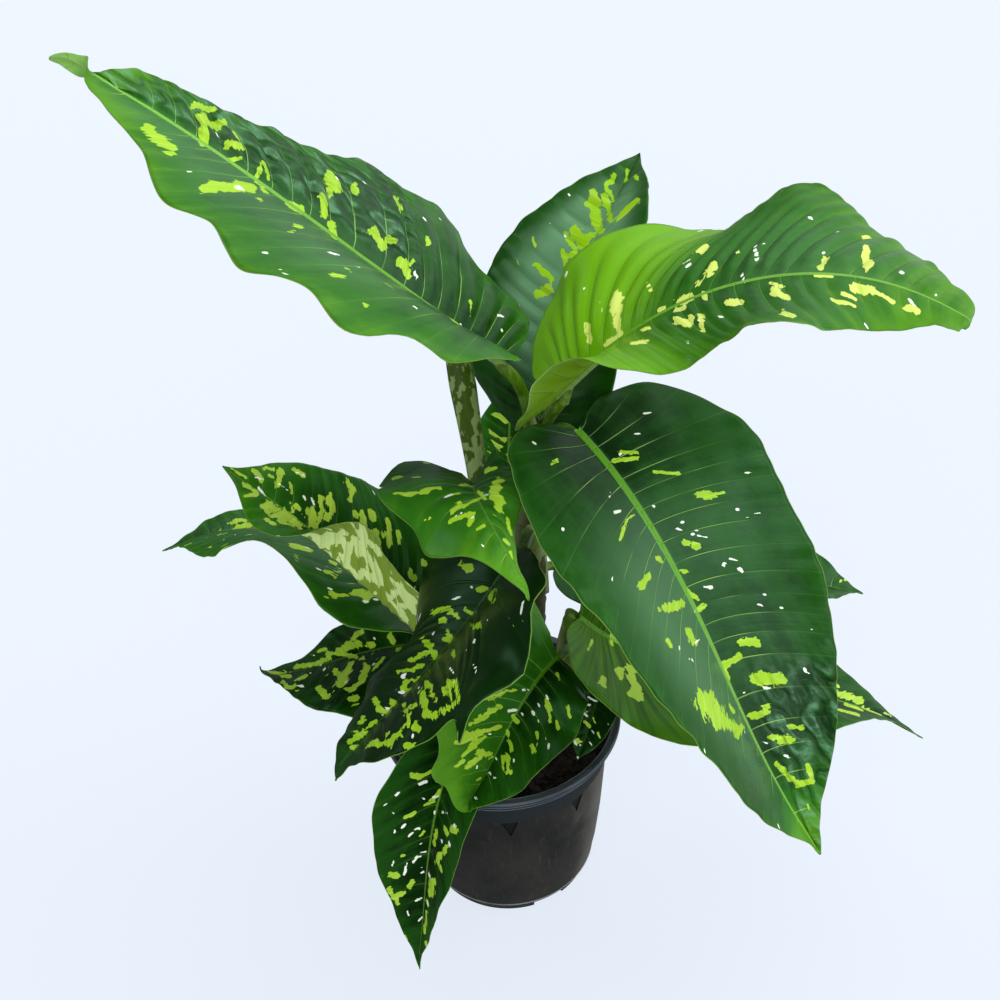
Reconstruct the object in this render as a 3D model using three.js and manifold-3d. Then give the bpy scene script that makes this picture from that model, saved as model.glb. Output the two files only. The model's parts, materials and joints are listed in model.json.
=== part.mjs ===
// A potted dieffenbachia: three canes in a black nursery pot, with broad mottled leaves on
// channelled petioles. Millimetres, +Z up. The origin is the middle of the pot's flat base.

import * as THREE from 'three';
import { mergeVertices } from 'three/addons/utils/BufferGeometryUtils.js';
import Module from 'manifold-3d';

const wasm = await Module();
wasm.setup();

// Driving dimensions

const GAP = 0.3; // clearance between pieces that touch

const POT_HEIGHT = 122;
const RIM_RADIUS = 70;
const RIM_THICKNESS = 4.6;
const LIP_BOTTOM = POT_HEIGHT - 4; // a groove parts the lip from the skirt under it
const SKIRT_RADIUS = 67;
const SKIRT_BOTTOM = 113;
const COLLAR_RADIUS = 62.7;
const COLLAR_BOTTOM = 98;
const FOOT_RADIUS = 49.5;
const FOOT_LAND = 3; // how wide the ring is that stands on the table
const WALL = 1.6;
const EDGE = 0.6; // the size of the pot's small bevels
const BOSS_RADIUS = 28; // the flat middle of the base, which rests on the table too
const FLOOR_RISE = 4; // the ring round it is raised to drain
const FLOOR = FLOOR_RISE + WALL;
const POT_SIDES = 40;

const FOOT_COUNT = 4;
const NOTCH_ANGLE = 23;
const NOTCH_HEIGHT = 4.8;
const FIRST_NOTCH = 26.5; // degrees round from the front, as the marks below
const NOTCH_INSIDE = FOOT_RADIUS - 6; // the notch is cut from this radius out
const NOTCH_OUTSIDE = FOOT_RADIUS + 8;
const MARK_COUNT = 9;
const FIRST_MARK = 1.5;
const MARK_TOP = 96;
const MARK_HEIGHT = 13;
const MARK_WIDTH = 9.5;
const MARK_DEPTH = 0.7;
const DRAIN_COUNT = 8;
const DRAIN_RADIUS = 4;
const DRAIN_PLACE = 38;
const DRAIN_SIDES = 10;
const CUT_REACH = 20; // long enough for a cutter to pass right through a wall

const SOIL_TOP = 108;
const SOIL_MOUND = 3; // how much lower the soil is at the pot's wall

const BLADE_HALF_THICKNESS = 0.4;
const RIB_DEPTH = 1.7; // how far the midrib stands out below, at the leaf's base
const RIB_SHARE = 0.07; // its half width, as a share of the half blade
const BLADE_ROWS = 14;
const BLADE_COLUMNS = [0, RIB_SHARE, 0.38, 0.72, 1]; // from the midrib to the margin
const ROW_SWEEP = 1.5; // how late a row turns towards the tip, as the side veins do
const RIB_STEPS = 80;
const BEND_STEPS = 24;
const HOOK_FROM = 0.86; // the tip turns up or down past this share of the length
const FOLD_SETTLES = 1.3; // the fold reaches its tip value at 1 / 1.3 of the length
const CURL_SHARE = 0.35; // a folded half is rolled within this share of its width
const RUFFLE_CALM = 0.12; // the waves fade within this share of the base and the tip
const SCALLOP_CALM = 0.15;

const PETIOLE_SIDES = 8;
const PETIOLE_STEPS = 9;
const PETIOLE_TAPER = 0.6; // it is at its blade's thickness from this share of its length
const CHANNEL = 0.35; // how much of a petiole's upper half its channel takes away
const CANE_SIDES = 10;
const CANE_STEPS = 6;
const CANE_TAPER = 0.25;
const CANE_FOOT = 68; // how deep a cane goes into the soil
const HOLE_SIDES = 20;
const STRAIGHT_TO = SOIL_TOP + 10; // a cane is upright up to here, through its hole
const ROLL_CHANNEL = 0.1;
const ROLL_STEPS = 15;

const SIDEWAYS = new THREE.Vector3(1, 0, 0);

const rad = THREE.MathUtils.degToRad;
const smooth = (x) => THREE.MathUtils.smoothstep(x, 0, 1);

// Solids

function solid(geometry) {
  const bare = geometry.clone();
  bare.deleteAttribute('normal');
  bare.deleteAttribute('uv');
  const merged = mergeVertices(bare, 1e-4);
  const mesh = new wasm.Mesh({
    numProp: 3,
    vertProperties: new Float32Array(merged.attributes.position.array),
    triVerts: new Uint32Array(merged.index.array),
  });
  return new wasm.Manifold(mesh);
}

function geometryOf(body) {
  const mesh = body.getMesh();
  const geometry = new THREE.BufferGeometry();
  geometry.setAttribute('position', new THREE.BufferAttribute(mesh.vertProperties, 3));
  geometry.setIndex(new THREE.BufferAttribute(mesh.triVerts, 1));
  geometry.computeVertexNormals();
  return geometry;
}

function closedGeometry(points, triangles) {
  const geometry = new THREE.BufferGeometry();
  geometry.setFromPoints(points);
  geometry.setIndex(triangles);
  return geometry;
}

// Each leaf. The base is where the petiole meets the blade. Heading is seen from above, from +X.
// Pitch is above level at the base, middle and tip. Bank and fold are at the base and the tip,
// and width, arch, ruffle place and scallop place are for the left half and the right half.

const plain = {
  lobe: 0.05, belly: 0.36, tip: 1, hook: 0, waves: 2.5, ruffle: 4, ruffleAt: [0, 0],
  scallop: 0, scallops: 5, scallopAt: [0, 0], curl: 0,
};

const leaves = {
  blade_upper_left: {
    base: [14, -17, 368], length: 249, half: [75, 78], heading: [162, 156], pitch: [33, 34, 20],
    bank: [21, -4], leftFold: [31, 4], rightFold: [24, 10], arch: [-43, -29], ruffle: 8,
    waves: 1.3, ruffleAt: [250, 290], lobe: 0.01, belly: 0.35, tip: 0.5, hook: 3, scallop: 0.09,
    scallops: 5.2, scallopAt: [320, 330],
  },
  blade_upper_right: {
    base: [37, -10, 344], length: 212, half: [75, 48], heading: [-21, -26], pitch: [52, 25, -34],
    bank: [21, 21], leftFold: [14, -16], rightFold: [32, 4], arch: [-21, 13], ruffle: 14,
    waves: 2.1, ruffleAt: [350, 310], lobe: 0.07, belly: 0.34, tip: 1.4, hook: 5, scallop: 0.09,
    scallops: 3.1, scallopAt: [120, 70],
  },
  blade_front_right: {
    base: [45, -25, 333], length: 240, half: [81, 74], heading: [-49, -45],
    pitch: [-23, -57, -40], bank: [-20, 13], leftFold: [18, 5], rightFold: [5, 43],
    arch: [4, -15], ruffle: 2, waves: 3.0, ruffleAt: [270, 130], lobe: 0.04, belly: 0.28,
    tip: 1.2,
  },
  blade_upper_back: {
    base: [29, 34, 287], length: 179, half: [69, 50], heading: [55, 61], pitch: [84, 38, 18],
    bank: [-43, 9], leftFold: [18, 0], rightFold: [-3, 33], arch: [-7, -21], ruffle: 2,
    waves: 2.4, ruffleAt: [310, 80], lobe: 0.01, belly: 0.31, tip: 1.0, hook: -2,
  },
  blade_middle_front: {
    base: [-4, -30, 308], length: 115, half: [23, 46], heading: [-97, -60], pitch: [39, 12, -45],
    bank: [3, -27], leftFold: [64, -12], rightFold: [42, -23], arch: [-6, -49], ruffle: 7,
    waves: 2.1, ruffleAt: [90, 160], lobe: 0.03, belly: 0.26, tip: 0.5, scallop: 0.08,
    scallops: 3.7, scallopAt: [110, 310],
  },
  blade_left_folded: {
    base: [-30, -17, 197], length: 149, half: [37, 48], heading: [159, 170], pitch: [39, 46, 35],
    bank: [-39, -4], leftFold: [9, 5], rightFold: [16, 6], arch: [-20, -18], ruffle: -5,
    waves: 2.0, ruffleAt: [220, 70], lobe: 0.05, belly: 0.48, tip: 1.2, hook: 11, curl: 120,
    curlFrom: 0.52, curlTo: 0.86,
  },
  blade_left_under: {
    base: [-29, 19, 166], length: 219, half: [58, 44], heading: [151, 159], pitch: [57, 0, -43],
    bank: [32, -1], leftFold: [13, 18], rightFold: [25, 14], arch: [-21, -18], ruffle: 14,
    waves: 2.2, ruffleAt: [80, 100], lobe: 0.03, belly: 0.38, tip: 0.9, hook: 15,
  },
  blade_left_low: {
    base: [-36, 24, 154], length: 113, half: [58, 37], heading: [175, 180], pitch: [9, -19, 6],
    bank: [-13, 20], leftFold: [18, 11], rightFold: [24, 3], arch: [-22, -11], ruffle: 5,
    waves: 2.3, ruffleAt: [90, 290], lobe: 0.04, belly: 0.36, tip: 0.8, hook: 43,
  },
  blade_centre: {
    base: [12, -60, 288], length: 133, half: [80, 62], heading: [-136, -142],
    pitch: [-38, -23, -33], bank: [27, 19], leftFold: [31, 27], rightFold: [28, 2],
    arch: [-37, -50], ruffle: 6, waves: 2.4, ruffleAt: [320, 270], lobe: 0.04, belly: 0.63,
    tip: 1.2, hook: 10,
  },
  blade_front_centre: {
    base: [32, -46, 207], length: 100, half: [31, 56], heading: [-129, -150],
    pitch: [10, -51, -35], bank: [-22, -4], leftFold: [-8, 25], rightFold: [31, 85],
    arch: [-14, 3], ruffle: 9, waves: 2.6, ruffleAt: [320, 90], lobe: 0.02, belly: 0.36,
    tip: 1.2, hook: -58,
  },
  blade_front_low: {
    base: [-16, -55, 177], length: 172, half: [26, 34], heading: [-131, -131],
    pitch: [-40, -75, -70], bank: [-14, 0], leftFold: [13, 38], rightFold: [67, 16],
    arch: [-5, -7], ruffle: 2, waves: 2.9, ruffleAt: [130, 140], lobe: 0.05, belly: 0.32,
    tip: 1.0, hook: -13,
  },
  blade_right_low: {
    base: [45, -22, 212], length: 248, half: [59, 60], heading: [-4, 13], pitch: [-50, -22, -60],
    bank: [22, -13], leftFold: [23, 24], rightFold: [25, 20], arch: [-3, -16], ruffle: 4,
    waves: 2.7, ruffleAt: [130, 90], lobe: 0.04, belly: 0.43, tip: 0.4, hook: 16,
  },
  blade_right_back: {
    base: [37, 44, 195], length: 210, half: [51, 41], heading: [7, 12], pitch: [-11, -19, -25],
    bank: [9, 6], leftFold: [22, 26], rightFold: [11, 25], arch: [-14, -18], ruffle: 6,
    waves: 2.5, ruffleAt: [20, 180], lobe: 0.02, belly: 0.36, tip: 1.1, hook: -5,
  },
  blade_in_pot: {
    base: [58, -13, 154], length: 46, half: [14, 14], heading: [-112, -126],
    pitch: [-30, -42, -48], bank: [0, 0], leftFold: [20, 10], rightFold: [20, 10],
    arch: [-10, -10], ruffle: 2,
  },
  blade_small_back: {
    base: [12, 62, 243], length: 58, half: [20, 20], heading: [80, 85],
    pitch: [60, 45, 30], bank: [0, 0], leftFold: [25, 10], rightFold: [25, 10],
    arch: [-10, -10], ruffle: 2,
  },
};

// The blade's flat outline for one half, from its base round the lobe to the tip: how far along,
// how wide, and where the row that ends there leaves the midrib, as shares of length and width.
function outlineOf(leaf) {
  const narrowing = 0.5 + 0.5 * leaf.tip;
  return [
    [0, 0, 0],
    [-leaf.lobe, 0.34, 0.012],
    [0.02 - 0.62 * leaf.lobe, 0.7, 0.035],
    [0.13, 0.93, 0.09],
    [leaf.belly, 1, 0.19],
    [0.62, 0.8 * narrowing, 0.47],
    [0.82, 0.43 * leaf.tip, 0.74],
    [0.93, 0.135 * leaf.tip, 0.906],
    [1, 0, 1],
  ];
}

function catmullRom(points, t) {
  const last = points.length - 1;
  const place = Math.min(t * last, last - 1e-9);
  const i = Math.floor(place);
  const f = place - i;
  const b = points[i];
  const c = points[i + 1];
  const a = i > 0 ? points[i - 1] : b.map((v, k) => 2 * v - c[k]);
  const d = i + 2 <= last ? points[i + 2] : c.map((v, k) => 2 * v - b[k]);
  return b.map((v, k) => 0.5 * (2 * v + (c[k] - a[k]) * f
    + (2 * a[k] - 5 * v + 4 * c[k] - d[k]) * f * f
    + (3 * v - a[k] - 3 * c[k] + d[k]) * f * f * f));
}

// The midrib as a list of frames: its place, and which way is along, across and up.
function midribOf(leaf) {
  const frames = [];
  const place = new THREE.Vector3(...leaf.base);
  let before = null;
  for (let i = 0; i <= RIB_STEPS; i++) {
    const x = i / RIB_STEPS;
    const pitch = rad(leaf.pitch[0] * (1 - x) * (1 - 2 * x) + 4 * leaf.pitch[1] * x * (1 - x)
      + leaf.pitch[2] * x * (2 * x - 1)
      + leaf.hook * smooth((x - HOOK_FROM) / (1 - HOOK_FROM)));
    const heading = rad(THREE.MathUtils.lerp(leaf.heading[0], leaf.heading[1], x));
    const bank = rad(THREE.MathUtils.lerp(leaf.bank[0], leaf.bank[1], x));
    const along = new THREE.Vector3(Math.cos(heading) * Math.cos(pitch),
      Math.sin(heading) * Math.cos(pitch), Math.sin(pitch));
    const side = new THREE.Vector3(-Math.sin(heading), Math.cos(heading), 0);
    const up = along.clone().cross(side);
    const across = side.clone().multiplyScalar(Math.cos(bank)).addScaledVector(up, Math.sin(bank));
    const normal = up.multiplyScalar(Math.cos(bank)).addScaledVector(side, -Math.sin(bank));
    if (before) {
      place.addScaledVector(before.clone().add(along), leaf.length / RIB_STEPS / 2);
    }
    before = along;
    frames.push({ place: place.clone(), along, across, normal });
  }
  return frames;
}

function frameAt(frames, share) {
  const place = THREE.MathUtils.clamp(share, 0, 1) * RIB_STEPS;
  const i = Math.min(Math.floor(place), RIB_STEPS - 1);
  const blend = (key) => frames[i][key].clone().lerp(frames[i + 1][key], place - i);
  return {
    place: blend('place'),
    along: blend('along'),
    across: blend('across'),
    normal: blend('normal'),
  };
}

// Bends a flat point of the blade, x along and y across, onto the living leaf.
function bend(leaf, frames, x, y) {
  const share = THREE.MathUtils.clamp(x / leaf.length, 0, 1);
  const frame = frameAt(frames, share);
  const half = y >= 0 ? 0 : 1;
  const width = leaf.half[half];
  const folds = half === 0 ? leaf.leftFold : leaf.rightFold;
  const fold = rad(folds[0] + (folds[1] - folds[0]) * smooth(share * FOLD_SETTLES));
  const arch = rad(leaf.arch[half]);
  const curl = leaf.curl && half === 0
    ? rad(leaf.curl) * (1 - smooth((share - leaf.curlFrom) / (leaf.curlTo - leaf.curlFrom))) : 0;
  const reach = Math.abs(y);
  let out = 0;
  let lift = 0;
  for (let i = 0; i < BEND_STEPS; i++) {
    const s = reach * (i + 0.5) / BEND_STEPS;
    const angle = fold + arch * s / width + curl * smooth(s / (CURL_SHARE * width));
    out += Math.cos(angle) * reach / BEND_STEPS;
    lift += Math.sin(angle) * reach / BEND_STEPS;
  }
  const calm = smooth(share / RUFFLE_CALM) * smooth((1 - share) / RUFFLE_CALM);
  lift += leaf.ruffle * (reach / width) ** 2 * calm
    * Math.sin(2 * Math.PI * leaf.waves * share + rad(leaf.ruffleAt[half]));
  return frame.place
    .addScaledVector(frame.along, Math.min(x, 0))
    .addScaledVector(frame.across, half === 0 ? out : -out)
    .addScaledVector(frame.normal, lift);
}

// How much wider or narrower the waves of the outline make the blade here.
function scallopAt(leaf, half, share) {
  const u = THREE.MathUtils.clamp(share, 0, 1);
  const calm = smooth(u / SCALLOP_CALM) * smooth((1 - u) / SCALLOP_CALM);
  return 1 + leaf.scallop * calm
    * Math.sin(2 * Math.PI * leaf.scallops * u + rad(leaf.scallopAt[half]));
}

// The blade's middle surface as rows of points from the right margin to the left one.
function bladeGrid(leaf) {
  const frames = midribOf(leaf);
  const outline = outlineOf(leaf);
  const columns = [...BLADE_COLUMNS.slice(1).map((s) => -s).reverse(), ...BLADE_COLUMNS];
  const rows = [];
  for (let i = 0; i <= BLADE_ROWS; i++) {
    const [edge, wide, root] = catmullRom(outline, i / BLADE_ROWS);
    rows.push(columns.map((s) => {
      const half = s >= 0 ? 0 : 1;
      const width = leaf.half[half] * scallopAt(leaf, half, edge);
      const x = (root + (edge - root) * Math.abs(s) ** ROW_SWEEP) * leaf.length;
      return bend(leaf, frames, x, Math.max(wide, 0) * s * width);
    }));
  }
  return { rows, columns };
}

// The blade as a closed shell round that surface, with the midrib's ridge along its underside.
function bladeSolid(leaf) {
  const { rows, columns } = bladeGrid(leaf);
  const last = rows.length - 1;
  const across = columns.length;
  const points = [rows[0][0], rows[last][0]];
  for (let i = 1; i < last; i++) {
    points.push(...rows[i]);
  }
  const at = (i, j) => (i === 0 ? 0 : i === last ? 1 : 2 + (i - 1) * across + j);
  const faces = [];
  for (let i = 0; i < last; i++) {
    for (let j = 0; j < across - 1; j++) {
      const a = at(i, j);
      const b = at(i + 1, j);
      const c = at(i + 1, j + 1);
      const d = at(i, j + 1);
      if (i === 0) {
        faces.push([a, b, c]);
      } else if (i === last - 1) {
        faces.push([a, b, d]);
      } else if (j < (across - 1) / 2) {
        faces.push([a, b, c], [a, c, d]);
      } else {
        faces.push([a, b, d], [b, c, d]);
      }
    }
  }
  const skin = closedGeometry(points, faces.flat());
  skin.computeVertexNormals();
  const normals = skin.attributes.normal;
  const middle = (across - 1) / 2;
  const count = points.length;
  const solidPoints = points.map((p, k) => p.clone()
    .addScaledVector(new THREE.Vector3().fromBufferAttribute(normals, k), BLADE_HALF_THICKNESS));
  points.forEach((p, k) => {
    const row = Math.floor((k - 2) / across) + 1;
    const onRib = k >= 2 && (k - 2) % across === middle;
    const depth = BLADE_HALF_THICKNESS + (onRib ? RIB_DEPTH * (1 - row / last) : 0);
    solidPoints.push(p.clone()
      .addScaledVector(new THREE.Vector3().fromBufferAttribute(normals, k), -depth));
  });
  const triangles = faces.flat();
  faces.forEach(([a, b, c]) => triangles.push(count + a, count + c, count + b));
  for (const j of [0, across - 1]) {
    for (let i = 0; i < last; i++) {
      const a = at(i, j);
      const b = at(i + 1, j);
      if (j === 0) {
        triangles.push(a, count + b, b, a, count + a, count + b);
      } else {
        triangles.push(a, b, count + b, a, count + b, count + a);
      }
    }
  }
  return closedGeometry(solidPoints, triangles);
}

// A closed stalk along a list of points. Its section is an oval with a channel along its top.
function stalk(path, radiusAt, sides, channel, sideways) {
  const points = [];
  const count = path.length;
  for (let i = 0; i < count; i++) {
    const after = path[Math.min(i + 1, count - 1)];
    const before = path[Math.max(i - 1, 0)];
    const tangent = after.clone().sub(before).normalize();
    const up = tangent.clone().cross(sideways).normalize();
    const across = up.clone().cross(tangent);
    const radius = radiusAt(i / (count - 1));
    for (let k = 0; k < sides; k++) {
      const angle = 2 * Math.PI * (k + 0.5) / sides;
      const high = Math.sin(angle);
      points.push(path[i].clone()
        .addScaledVector(across, radius * Math.cos(angle))
        .addScaledVector(up, radius * (high > 0 ? high * (1 - channel) : high)));
    }
  }
  const triangles = [];
  for (let i = 0; i < count - 1; i++) {
    for (let k = 0; k < sides; k++) {
      const a = i * sides + k;
      const b = i * sides + (k + 1) % sides;
      triangles.push(a, b, b + sides, a, b + sides, a + sides);
    }
  }
  for (let k = 1; k < sides - 1; k++) {
    triangles.push(0, k + 1, k);
    const end = (count - 1) * sides;
    triangles.push(end, end + k, end + k + 1);
  }
  return closedGeometry(points, triangles);
}

// Petioles: the height where each leaves its cane, its half thickness at the cane and the blade,
// how far it first rises along the cane, and how far it runs in line with the blade at its end.
const petioles = {
  cane_main: {
    blade_upper_left: { from: 262, thick: [7, 3.4], rise: 55, reach: 16 },
    blade_upper_right: { from: 258, thick: [7, 4], rise: 45, reach: 20 },
    blade_front_right: { from: 236, thick: [7, 4], rise: 70, reach: 18 },
    blade_upper_back: { from: 240, thick: [6.5, 3.4], rise: 30, reach: 16 },
    blade_centre: { from: 205, thick: [6, 3], rise: 60, reach: 16 },
    blade_right_back: { from: 170, thick: [5.5, 2.8], rise: 40, reach: 14 },
    blade_small_back: { from: 190, thick: [5, 1.6], rise: 40, reach: 14 },
  },
  cane_left: {
    blade_middle_front: { from: 222, thick: [5.4, 2.8], rise: 40, reach: 16 },
    blade_left_folded: { from: 160, thick: [5.5, 3], rise: 30, reach: 12 },
    blade_left_under: { from: 150, thick: [5.5, 3], rise: 30, reach: 12 },
    blade_left_low: { from: 140, thick: [5, 2.4], rise: 26, reach: 12 },
    blade_front_low: { from: 134, thick: [5, 2.8], rise: 55, reach: 16 },
  },
  cane_right: {
    blade_front_centre: { from: 150, thick: [5.5, 2.8], rise: 36, reach: 14 },
    blade_right_low: { from: 160, thick: [6, 3.4], rise: 30, reach: 14 },
    blade_in_pot: { from: 140, thick: [4, 2], rise: 16, reach: 8 },
  },
};

// Canes: where each stands in the soil, where its top leans to, and how thick it is.
const canes = {
  cane_main: { foot: [18, 10], top: [26, 6, 268], thick: 9 },
  cane_left: { foot: [-12, -21], top: [-6, -18, 252], thick: 7.5 },
  cane_right: { foot: [40, -8], top: [43, -8, 172], thick: 7 },
};

function canePoint(cane, height) {
  const share = Math.max(0, (height - STRAIGHT_TO) / (cane.top[2] - STRAIGHT_TO));
  const lean = share * share * (3 - share) / 2;
  return new THREE.Vector3(
    THREE.MathUtils.lerp(cane.foot[0], cane.top[0], lean),
    THREE.MathUtils.lerp(cane.foot[1], cane.top[1], lean),
    height,
  );
}

function caneStalk(cane) {
  const heights = [SOIL_TOP - CANE_FOOT, SOIL_TOP, STRAIGHT_TO];
  for (let i = 1; i <= CANE_STEPS; i++) {
    heights.push(THREE.MathUtils.lerp(STRAIGHT_TO, cane.top[2], i / CANE_STEPS));
  }
  const path = heights.map((height) => canePoint(cane, height));
  const radiusAt = (t) => cane.thick * (1 - CANE_TAPER * t * t);
  return stalk(path, radiusAt, CANE_SIDES, 0, SIDEWAYS);
}

function petioleStalk(cane, petiole, leaf) {
  const frame = midribOf(leaf)[0];
  const start = canePoint(cane, petiole.from);
  const [wide, narrow] = petiole.thick;
  const under = narrow * (1 - CHANNEL) + BLADE_HALF_THICKNESS + GAP;
  const end = frame.place.clone().addScaledVector(frame.normal, -under);
  const curve = new THREE.CubicBezierCurve3(
    start,
    start.clone().add(new THREE.Vector3(0, 0, petiole.rise)),
    end.clone().addScaledVector(frame.along, -petiole.reach),
    end,
  );
  const radiusAt = (t) => narrow + (wide - narrow) * (1 - smooth(t / PETIOLE_TAPER));
  return stalk(curve.getPoints(PETIOLE_STEPS), radiusAt, PETIOLE_SIDES, CHANNEL, frame.across);
}

function caneWithPetioles(name) {
  let body = solid(caneStalk(canes[name]));
  for (const [leafName, petiole] of Object.entries(petioles[name])) {
    body = body.add(solid(petioleStalk(canes[name], petiole, { ...plain, ...leaves[leafName] })));
  }
  return geometryOf(body);
}

// The furled young leaf: a tapering roll that stands in the newest petiole's sheath.
const furled = {
  foot: [-9, -12, 252.5], bow: [-4, -6, 291], top: [-9, 9, 352], tip: [-11, 13, 378],
  radii: [2.2, 3.4, 5.4, 7.2, 6.4, 1.2],
};

function furledLeaf() {
  const knots = [furled.foot, furled.bow, furled.top, furled.tip];
  const curve = new THREE.CatmullRomCurve3(knots.map((p) => new THREE.Vector3(...p)));
  const last = furled.radii.length - 1;
  const radiusAt = (t) => {
    const i = Math.min(Math.floor(t * last), last - 1);
    return THREE.MathUtils.lerp(furled.radii[i], furled.radii[i + 1], t * last - i);
  };
  return stalk(curve.getPoints(ROLL_STEPS), radiusAt, CANE_SIDES, ROLL_CHANNEL, SIDEWAYS);
}

// The pot: its outside wall from the foot up to the collar, as radius and height.

const bodyOutside = [
  [FOOT_RADIUS, 0],
  [FOOT_RADIUS + 1.6, NOTCH_HEIGHT + EDGE],
  [FOOT_RADIUS + 3.4, 10],
  [FOOT_RADIUS + 6, 25],
  [FOOT_RADIUS + 8.8, 50],
  [FOOT_RADIUS + 11.1, 80],
  [FOOT_RADIUS + 12.3, COLLAR_BOTTOM],
];

function bodyInside(z) {
  const i = Math.max(1, bodyOutside.findIndex((p) => p[1] >= z));
  const [r0, z0] = bodyOutside[i - 1];
  const [r1, z1] = bodyOutside[i];
  return THREE.MathUtils.mapLinear(z, z0, z1, r0, r1) - WALL;
}

function lathe(profile, sides) {
  const points = profile.map(([r, z]) => new THREE.Vector2(r, z));
  return new THREE.LatheGeometry(points, sides).rotateX(Math.PI / 2);
}

// Turns a piece made at the front, at -Y, round the pot.
function roundFromFront(geometry, degrees) {
  return geometry.rotateZ(rad(degrees));
}

function potShell() {
  const outside = [
    [0, 0],
    [BOSS_RADIUS, 0],
    [BOSS_RADIUS + 2, FLOOR_RISE],
    [FOOT_RADIUS - FOOT_LAND - 1, FLOOR_RISE],
    [FOOT_RADIUS - FOOT_LAND, 0],
    ...bodyOutside,
    [COLLAR_RADIUS, COLLAR_BOTTOM],
    [COLLAR_RADIUS + 0.8, SKIRT_BOTTOM],
    [SKIRT_RADIUS, SKIRT_BOTTOM],
    [SKIRT_RADIUS + 0.4, LIP_BOTTOM],
    [RIM_RADIUS, LIP_BOTTOM + EDGE],
    [RIM_RADIUS, POT_HEIGHT - EDGE],
    [RIM_RADIUS - EDGE, POT_HEIGHT],
    [RIM_RADIUS - RIM_THICKNESS, POT_HEIGHT - EDGE / 2],
    [COLLAR_RADIUS - 0.2, SKIRT_BOTTOM],
    [COLLAR_RADIUS - WALL, COLLAR_BOTTOM],
    [bodyInside(50), 50],
    [bodyInside(10), 10],
    [FOOT_RADIUS - 1, FLOOR],
    [BOSS_RADIUS + 1.2, FLOOR],
    [BOSS_RADIUS - 1, WALL],
    [0, WALL],
  ];
  return lathe(outside, POT_SIDES);
}

function pot() {
  let body = solid(potShell());
  for (let i = 0; i < FOOT_COUNT; i++) {
    const notch = new THREE.Shape();
    const aside = Math.sin(rad(NOTCH_ANGLE / 2));
    const ahead = Math.cos(rad(NOTCH_ANGLE / 2));
    notch.moveTo(-NOTCH_INSIDE * aside, -NOTCH_INSIDE * ahead);
    notch.lineTo(NOTCH_INSIDE * aside, -NOTCH_INSIDE * ahead);
    notch.lineTo(NOTCH_OUTSIDE * aside, -NOTCH_OUTSIDE * ahead);
    notch.lineTo(-NOTCH_OUTSIDE * aside, -NOTCH_OUTSIDE * ahead);
    const cut = new THREE.ExtrudeGeometry(notch, { depth: NOTCH_HEIGHT + 1, bevelEnabled: false });
    cut.translate(0, 0, -1);
    body = body.subtract(solid(roundFromFront(cut, FIRST_NOTCH + i * 360 / FOOT_COUNT)));
  }
  for (let i = 0; i < MARK_COUNT; i++) {
    const mark = new THREE.Shape();
    mark.moveTo(-MARK_WIDTH / 2, MARK_TOP);
    mark.lineTo(0, MARK_TOP - MARK_HEIGHT);
    mark.lineTo(MARK_WIDTH / 2, MARK_TOP);
    const cut = new THREE.ExtrudeGeometry(mark, { depth: CUT_REACH, bevelEnabled: false });
    cut.rotateX(Math.PI / 2).translate(0, -(bodyInside(MARK_TOP) + WALL - MARK_DEPTH), 0);
    body = body.subtract(solid(roundFromFront(cut, FIRST_MARK + i * 360 / MARK_COUNT)));
  }
  for (let i = 0; i < DRAIN_COUNT; i++) {
    const drain = new THREE.CylinderGeometry(DRAIN_RADIUS, DRAIN_RADIUS, CUT_REACH, DRAIN_SIDES);
    drain.rotateX(Math.PI / 2).translate(0, -DRAIN_PLACE, 0);
    body = body.subtract(solid(roundFromFront(drain, (i + 0.5) * 360 / DRAIN_COUNT)));
  }
  return geometryOf(body);
}

// The soil fills the pot up to its mound, with a plain hole for each cane.
function soil() {
  const profile = [
    [0, WALL + GAP],
    [BOSS_RADIUS - 1.3, WALL + GAP],
    [BOSS_RADIUS + 1, FLOOR + GAP],
    [FOOT_RADIUS - 1.6, FLOOR + GAP],
    [bodyInside(10) - GAP, 10],
    [bodyInside(50) - GAP, 50],
    [COLLAR_RADIUS - WALL - GAP, COLLAR_BOTTOM],
    [COLLAR_RADIUS - 1.2 - GAP, SOIL_TOP - SOIL_MOUND],
    [COLLAR_RADIUS * 0.6, SOIL_TOP - SOIL_MOUND / 3],
    [0, SOIL_TOP],
  ];
  let body = solid(lathe(profile, POT_SIDES));
  for (const cane of Object.values(canes)) {
    const radius = cane.thick + 2 * GAP;
    const hole = new THREE.CylinderGeometry(radius, radius, CANE_FOOT * 2, HOLE_SIDES);
    hole.rotateX(Math.PI / 2).translate(cane.foot[0], cane.foot[1], SOIL_TOP - GAP);
    body = body.subtract(solid(hole));
  }
  return geometryOf(body);
}

// The whole plant

const colours = {
  pot: 0x2e2b2c,
  soil: 0x1a1210,
  cane: 0x6c7a2c,
  furled: 0x8c9a50,
  leaf: 0x2a5a30,
};

function part(name, geometry, colour, roughness) {
  const material = new THREE.MeshStandardMaterial({ color: colour, roughness, metalness: 0 });
  const mesh = new THREE.Mesh(geometry, material);
  mesh.name = name;
  return mesh;
}

const plant = new THREE.Group();
plant.add(part('pot', pot(), colours.pot, 0.5));
plant.add(part('soil', soil(), colours.soil, 1));
for (const name of Object.keys(canes)) {
  plant.add(part(name, caneWithPetioles(name), colours.cane, 0.5));
}
plant.add(part('furled_leaf', furledLeaf(), colours.furled, 0.5));
for (const [name, leaf] of Object.entries(leaves)) {
  plant.add(part(name, bladeSolid({ ...plain, ...leaf }), colours.leaf, 0.4));
}

export default plant;
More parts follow.
